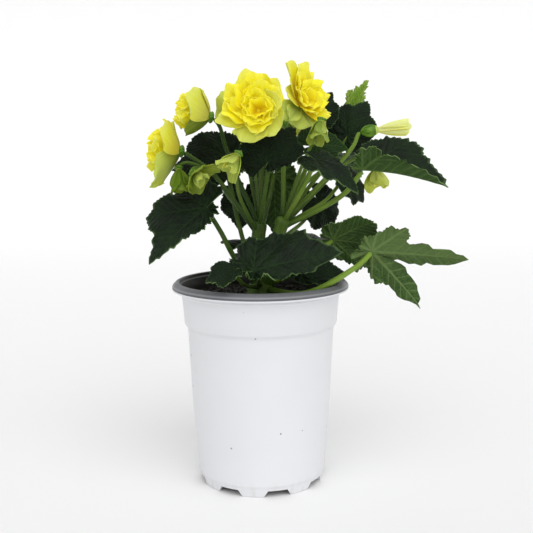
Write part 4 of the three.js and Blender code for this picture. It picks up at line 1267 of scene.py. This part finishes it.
BLOOMS = {
    "bloom_front": Bloom(
        centre=(0, -42, 293), facing=(-0.05, -0.93, 0.3), radius=25, petals=FRONT_PETALS,
        root=("left", 206), via=[(2, -13, 264)]),
    "bloom_right": Bloom(
        centre=(32, -18, 299), facing=(0.68, -0.57, 0.45), radius=27, petals=RIGHT_PETALS,
        root=("right", 211)),
    "bloom_left": Bloom(
        centre=(-62, -8, 264), facing=(-0.97, 0.04, 0.15), radius=26, petals=LEFT_PETALS,
        root=("left", 197)),
    "bloom_left_up": Bloom(
        centre=(-39, -2, 290), facing=(-0.95, 0.08, 0.24), radius=25, petals=LEFT_UP_PETALS,
        root=("left", 206), via=[(-15, -5, 238), (-26, 0, 266)]),
    "bloom_back_left": Bloom(
        centre=(-20, 20, 294), facing=(-0.25, 0.85, 0.45), radius=18, petals=OPENING_PETALS,
        root=("left", 207)),
    "bloom_back": Bloom(
        centre=(22, 50, 286), facing=(0.1, 0.85, 0.5), radius=23, petals=OPENING_PETALS,
        root=("right", 208)),
    "bloom_back_low": Bloom(
        centre=(-10, 72, 266), facing=(-0.3, 0.92, 0.22), radius=18, petals=OPENING_PETALS,
        root=("left", 204)),
    "bud_left_low": Bloom(
        centre=(-49, -26, 248), facing=(0.62, -0.45, -0.64), radius=20, petals=RAGGED_PETALS, tone=0.12,
        root=("bloom_left", 0.72)),
    "bud_left_under": Bloom(
        centre=(-62, -13, 250), facing=(0.12, -0.2, -0.97), radius=20, petals=NARROW_PETALS, tone=0.2,
        root=("bloom_left", 0.74)),
    "bud_front": Bloom(
        centre=(-15, -50, 261), facing=(-0.6, -0.35, -0.75), radius=19, petals=DROOPING_PETALS,
        root=("left", 198), via=[(-16, -28, 234), (-16, -39, 260)]),
    "bud_under_bloom": Bloom(
        centre=(46, -36, 285), facing=(-0.2, -0.45, -0.87), radius=19, petals=NARROW_PETALS,
        root=("right", 212), via=[(36, -9, 259), (47, -26, 281)]),
    "bud_right": Bloom(
        centre=(93, 19, 279), facing=(0.99, -0.1, 0.1), radius=26, petals=SLIM_PETALS,
        case=2.4, taper=0.5, root=("right", 207), via=[(61, 14, 250), (76, 18, 268)]),
    "bud_right_low": Bloom(
        centre=(96, 40, 247), facing=(0.1, -0.25, -0.95), radius=19, petals=DROOPING_PETALS, tone=-0.25,
        root=("right", 203), via=[(80, 43, 256)]),
}


def flower_route(bloom):
    out = bloom.axes[2]
    foot = Vector(bloom.centre) - out * (bloom.case - 0.15) * CORE_SHARE * bloom.radius
    return stalk_route(bloom.root, bloom.via, foot, out, 0.0)


def petal_point(petal, across, along):
    """A petal's point in the flower's axes: out from its middle, across it, and up the way it faces.

    tip rounds the petal's far end and makes it uneven, and wave ruffles it broadly, and finely at its end.
    """
    length, width = petal.length, petal.width
    rate = math.radians(petal.fall) / length
    tip = 1 - petal.corner * abs(across) ** 2.6 * along**2
    tip *= 1 + 0.035 * math.sin(5.3 * across + petal.phase) * along**4
    s = along * length * tip
    half = width / 2 * math.sin(math.pi * (0.04 + petal.taper * along**0.9)) ** 0.8
    y = across * half
    wave = petal.ruffle * length * along**2 * math.sin(4.4 * across + petal.phase)
    wave += 0.4 * petal.ruffle * length * along**5 * math.sin(13 * across + 2 * petal.phase)
    h = petal.cup * y * y / width + 0.1 * y + wave
    u, w = arc(s, h, rate)
    rise = math.radians(petal.rise)
    radial = petal.root + u * math.cos(rise) - w * math.sin(rise)
    return Vector((radial, y, u * math.sin(rise) + w * math.cos(rise) + petal.seat))


def petals_of(bloom, draw):
    radius = bloom.radius
    for around, length, width, rise, fall, cup, tone, ruffle in bloom.petals:
        yield SimpleNamespace(
            length=length * radius * draw.uniform(0.97, 1.03),
            width=width * radius * draw.uniform(0.95, 1.05),
            rise=rise + draw.uniform(-3, 3),
            fall=fall,
            cup=cup,
            tone=tone + bloom.tone,
            ruffle=ruffle,
            taper=bloom.taper,
            corner=0.08 if rise > 80 and fall < 0 else 0.36,
            seat=(rise / 90 - 0.5) * 0.12 * radius,
            root=0.05 * radius,
            phase=draw.uniform(0, 6),
            azimuth=math.radians(around + draw.uniform(-3, 3)),
        )


def make_flower(name, bloom, settings, materials):
    is_bud = name.startswith("bud")
    parts = []
    for number, petal in enumerate(petals_of(bloom, random.Random(name))):
        turn = Matrix.Rotation(petal.azimuth, 3, "Z")

        def place(u, v, petal=petal, turn=turn):
            return bloom.spot(*(turn @ petal_point(petal, 1 - 2 * u, v)))

        parts.append(grid(f"petal_{number}", PETAL_CELLS, PETAL_CELLS, place, tone=petal.tone))
    piece = joined(parts, f"{name}_petals")
    dress(piece, *materials)
    applied(piece, "SOLIDIFY", thickness=settings.petal * MM, offset=0)
    core = flower_core(bloom, tone=1 if is_bud else 0)
    dress(core, *materials)
    for face in core.data.polygons:
        ahead = (face.center - spot(bloom.centre)).dot(bloom.axes[2]) > 0
        face.material_index = 0 if ahead else 1
    piece = joined([piece, core], f"{name}_petals")
    shade(piece, 60)
    placed(piece, "bud" if is_bud else "petal", name)


def flower_core(bloom, tone):
    """The seat that the petals grow from, with the seed case's three blunt wings behind it."""
    radius = CORE_SHARE * bloom.radius
    reach = CORE_REACH if bloom.case < 1 else LONG_CORE_REACH

    def place(u, v):
        angle = TURN * u
        ridge = 1 + 0.34 * max(0.0, math.cos(3 * angle)) ** 3
        r = 0.82 * radius * math.sin(math.pi * v) ** 0.6 * ridge if 0 < v < 1 else 0
        out = lerp(-bloom.case, reach, v) * radius
        return bloom.spot(r * math.cos(angle), r * math.sin(angle), out)

    return merged(grid("core", 30, 14, place, tone=tone))


def petal_material(settings):
    graph = Graph("yellow petals")
    place = graph.place()
    u, v, _ = graph.split(graph.uv())
    tone = graph.tone()
    streak = graph.streaks(u * 34, v * 2.2, tone * 9)
    cloud = graph.noise(place, 95)
    tint = graph.coats(
        settings.deep,
        (graph.range(v, 0.15, 0.95), settings.yellow),
        (graph.range(v, 0.7, 1.0) * graph.range(tone, 0.0, 0.5, 0.12, 0.5), settings.pale),
        (graph.range(tone, 0.3, 1.0) * 0.85, settings.guard),
        (graph.range(tone, 0.6, 1.0) * graph.range(v, 0.6, 0.05) * 0.7, settings.green),
        (graph.range(streak, 0.4, 0.62) * graph.range(tone, 0.85, 1.3) * 0.75, settings.green),
        (graph.range(streak, 0.45, 0.75) * 0.22, settings.pale),
        (graph.range(cloud, 0.5, 0.8) * 0.2, settings.deep),
        (graph.range(tone, 1.0, 1.5), settings.green),
        (graph.range(tone, 0.0, -0.5), rgb(226, 232, 152)),
    )
    # Painted light: the yellow and whitish petals glow faintly, which lifts their shade as light through
    # them would; the green ones don't glow.
    glow = graph.mix(graph.range(tone, 0.2, 0.8), tint, rgb(0, 0, 0))
    return graph.finish(
        tint, graph.range(streak, 0.2, 0.8, 0.45, 0.62), streak + cloud * 0.5, 0.3, 0.0006,
        Emission_Color=glow, Emission_Strength=0.09, Specular_IOR_Level=0.15,
        Subsurface_Weight=0.4, Subsurface_Scale=0.004, Subsurface_Radius=(1.0, 0.85, 0.1))


def case_material(settings):
    graph = Graph("green seed case")
    place = graph.place()
    u, v, _ = graph.split(graph.uv())
    streak = graph.streaks(u * 20, v * 3, 0)
    cloud = graph.noise(place, 240)
    tint = graph.coats(
        settings.case,
        (graph.range(streak, 0.35, 0.7), rgb(114, 154, 48)),
        (graph.range(cloud, 0.5, 0.8) * 0.3, rgb(84, 112, 40)),
    )
    return graph.finish(
        tint, graph.range(cloud, 0.2, 0.8, 0.45, 0.6), streak, 0.3, 0.0005,
        Specular_IOR_Level=0.25, Subsurface_Weight=0.15, Subsurface_Scale=0.002)


def make_flowers(settings):
    materials = petal_material(settings), case_material(settings)
    for name, bloom in BLOOMS.items():
        make_flower(name, bloom, settings, materials)


# Settings that a user would change


def colour(name, text, value):
    return FloatVectorProperty(
        name=name, description=text, subtype="COLOR", size=3, min=0, max=1, default=value)


def amount(name, text, value, low, high):
    """A number that a user may set: whole if its value is."""
    kind = IntProperty if isinstance(value, int) else FloatProperty
    return kind(name=name, description=text, default=value, min=low, max=high)


class BegoniaPot(bpy.types.PropertyGroup):
    sides: amount("Sides", "Faces round the pot", 160, 32, 512)
    white: colour("Outside", "Colour of the pot's outside", rgb(232, 233, 236))
    grey: colour("Rim", "Colour of the pot's rim", rgb(104, 106, 110))
    # Darker than the rim's grey, as painted shade inside the pot; the under side takes it too, as painted
    # shade.
    inside: colour("Inside", "Colour of the pot's inside", rgb(34, 31, 28))


class BegoniaPlant(bpy.types.PropertyGroup):
    blade: amount("Blade", "Thickness of a leaf in millimetres", 0.8, 0.3, 2)
    hairs: amount("Hairs", "Hairs on the stalks", 6000, 1, 20000)
    crumbs: amount("Crumbs", "Loose crumbs on the soil", 420, 1, 2000)
    leaf_dark: colour("Leaf", "Darkest green of the upper side of a leaf", rgb(9, 21, 9))
    leaf_pale: colour("Leaf, pale", "Palest green of the upper side of a leaf", rgb(27, 46, 21))
    under: colour("Leaf under side", "Green of the under side of a leaf", rgb(46, 72, 31))
    stem_dark: colour("Stalk, shaded", "Darker green of the stalks", rgb(29, 58, 9))
    stem_light: colour("Stalk", "Paler green of the stalks", rgb(124, 156, 52))
    soil: colour("Soil", "Brown of the peat", rgb(26, 22, 14))
    moss: colour("Moss", "Green of the moss", rgb(66, 74, 34))


class BegoniaFlowers(bpy.types.PropertyGroup):
    petal: amount("Petal", "Thickness of a petal in millimetres", 0.6, 0.3, 2)
    yellow: colour("Petal", "Yellow of an inner petal", rgb(244, 234, 22))
    deep: colour("Petal root", "Deeper yellow at a petal's root", rgb(222, 190, 6))
    pale: colour("Petal edge", "Pale yellow of a petal's edge", rgb(248, 246, 136))
    guard: colour("Guard petal", "Pale green yellow of the outermost petals", rgb(180, 206, 104))
    green: colour("Guard root", "Green at the root of the outermost petals", rgb(92, 120, 28))
    case: colour("Seed case", "Green of the seed cases", rgb(66, 108, 22))


class BegoniaStage(bpy.types.PropertyGroup):
    lens: amount("Lens", "Focal length in millimetres", 59.34, 20, 200)
    key: amount("Key light", "Strength of the main soft light", 1.62, 0, 20)
    sky: amount("Ambient light", "Strength of the light all round", 0.56, 0, 5)
    floor: colour("Floor", "Colour of the floor", (0.9, 0.9, 0.9))


# Stage

SENSOR_MM = 36
CAMERA_PLACE = (4.95, -692, 270)
CAMERA_PITCH = math.radians(90 - 8.04)
CAMERA_ROLL = -0.008
SUN_WIDTH = math.radians(70)
SUN_DIRECTION = (math.radians(40), 0, math.radians(12))
FLOOR_FRONT = -4  # the floor in metres: its near end, its run, where it bends up, and its half width
FLOOR_RUN = 9
FLOOR_BEND = 1.4
BEND_RADIUS = 0.9
FLOOR_HALF = 6


def sweep(u, v):
    """The floor's point: level up to its bend, then round and straight up behind the plant."""
    run = v * FLOOR_RUN + FLOOR_FRONT
    turn = clamp((run - FLOOR_BEND) / BEND_RADIUS, 0, math.pi / 2)
    beyond = max(0.0, run - FLOOR_BEND - BEND_RADIUS * math.pi / 2)
    y = min(run, FLOOR_BEND) + BEND_RADIUS * math.sin(turn)
    return Vector((FLOOR_HALF * (2 * u - 1), y, BEND_RADIUS * (1 - math.cos(turn)) + beyond))


def make_stage(stage):
    floor = grid("stage_floor", 1, 40, sweep)
    shade(floor, 180)
    graph = Graph("pale floor")
    mottle = graph.noise(graph.place(), 3, 2)
    graph.set(Base_Color=graph.mix(mottle * 0.3, stage.floor, dimmed(stage.floor, 0.97)), Roughness=0.7)
    dress(floor, graph.material)

    scene = bpy.context.scene
    scene.world = bpy.data.worlds.new("pale studio")
    scene.world.use_nodes = True
    background = scene.world.node_tree.nodes["Background"]
    background.inputs["Color"].default_value = (1, 1, 1, 1)
    background.inputs["Strength"].default_value = stage.sky

    sun = bpy.data.lights.new("key", "SUN")
    sun.energy = stage.key
    sun.angle = SUN_WIDTH
    linked("key", sun).rotation_euler = SUN_DIRECTION

    data = bpy.data.cameras.new("front view")
    data.sensor_width = SENSOR_MM
    data.sensor_fit = "HORIZONTAL"
    data.lens = stage.lens
    camera = linked("front view", data)
    look = Matrix.Rotation(CAMERA_PITCH, 4, "X") @ Matrix.Rotation(CAMERA_ROLL, 4, "Z")
    camera.matrix_world = Matrix.Translation(spot(CAMERA_PLACE)) @ look
    scene.camera = camera
    scene.view_settings.view_transform = "Standard"


# Operators and panel


class Maker:
    """What the operators share: each makes its pieces from its group of settings."""

    def execute(self, context):
        self.make(getattr(context.scene, self.group))
        return {"FINISHED"}


class BEGONIA_OT_pot(Maker, bpy.types.Operator):
    """Make the moulded pot"""

    bl_idname = "begonia.pot"
    bl_label = "Pot"
    group = "begonia_pot"
    make = staticmethod(make_pot)


class BEGONIA_OT_soil(Maker, bpy.types.Operator):
    """Make the soil with its crumbs and moss"""

    bl_idname = "begonia.soil"
    bl_label = "Soil"
    group = "begonia_plant"
    make = staticmethod(make_soil)


class BEGONIA_OT_stems(Maker, bpy.types.Operator):
    """Make the crown, the main stems and all stalks"""

    bl_idname = "begonia.stems"
    bl_label = "Stems"
    group = "begonia_plant"
    make = staticmethod(make_stems)


class BEGONIA_OT_leaves(Maker, bpy.types.Operator):
    """Make every leaf blade"""

    bl_idname = "begonia.leaves"
    bl_label = "Leaves"
    group = "begonia_plant"
    make = staticmethod(make_leaves)


class BEGONIA_OT_flowers(Maker, bpy.types.Operator):
    """Make every flower and bud"""

    bl_idname = "begonia.flowers"
    bl_label = "Flowers"
    group = "begonia_flowers"
    make = staticmethod(make_flowers)


class BEGONIA_OT_stage(Maker, bpy.types.Operator):
    """Set the floor, the lights and the camera"""

    bl_idname = "begonia.stage"
    bl_label = "Stage"
    group = "begonia_stage"
    make = staticmethod(make_stage)


GROUPS = {
    "begonia_pot": BegoniaPot,
    "begonia_plant": BegoniaPlant,
    "begonia_flowers": BegoniaFlowers,
    "begonia_stage": BegoniaStage,
}
OPERATORS = (
    BEGONIA_OT_pot, BEGONIA_OT_soil, BEGONIA_OT_stems, BEGONIA_OT_leaves, BEGONIA_OT_flowers,
    BEGONIA_OT_stage)


class BEGONIA_PT_panel(bpy.types.Panel):
    """Lists the pieces of the begonia and its settings"""

    bl_idname = "BEGONIA_PT_panel"
    bl_label = "Begonia"
    bl_space_type = "VIEW_3D"
    bl_region_type = "UI"
    bl_category = "Begonia"

    def draw(self, context):
        for name in GROUPS:
            settings = getattr(context.scene, name)
            box = self.layout.box()
            for key in settings.__annotations__:
                box.prop(settings, key)
            for operator in OPERATORS:
                if operator.group == name:
                    box.operator(operator.bl_idname)


CLASSES = (*GROUPS.values(), *OPERATORS, BEGONIA_PT_panel)


def register():
    for item in CLASSES:
        bpy.utils.register_class(item)
    for name, group in GROUPS.items():
        setattr(bpy.types.Scene, name, PointerProperty(type=group))


def unregister():
    for name in GROUPS:
        delattr(bpy.types.Scene, name)
    for item in reversed(CLASSES):
        bpy.utils.unregister_class(item)


def main():
    register()
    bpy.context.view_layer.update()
    for operator in OPERATORS:
        group, name = operator.bl_idname.split(".")
        getattr(getattr(bpy.ops, group), name)()
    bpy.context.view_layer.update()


if __name__ == "__main__":
    main()
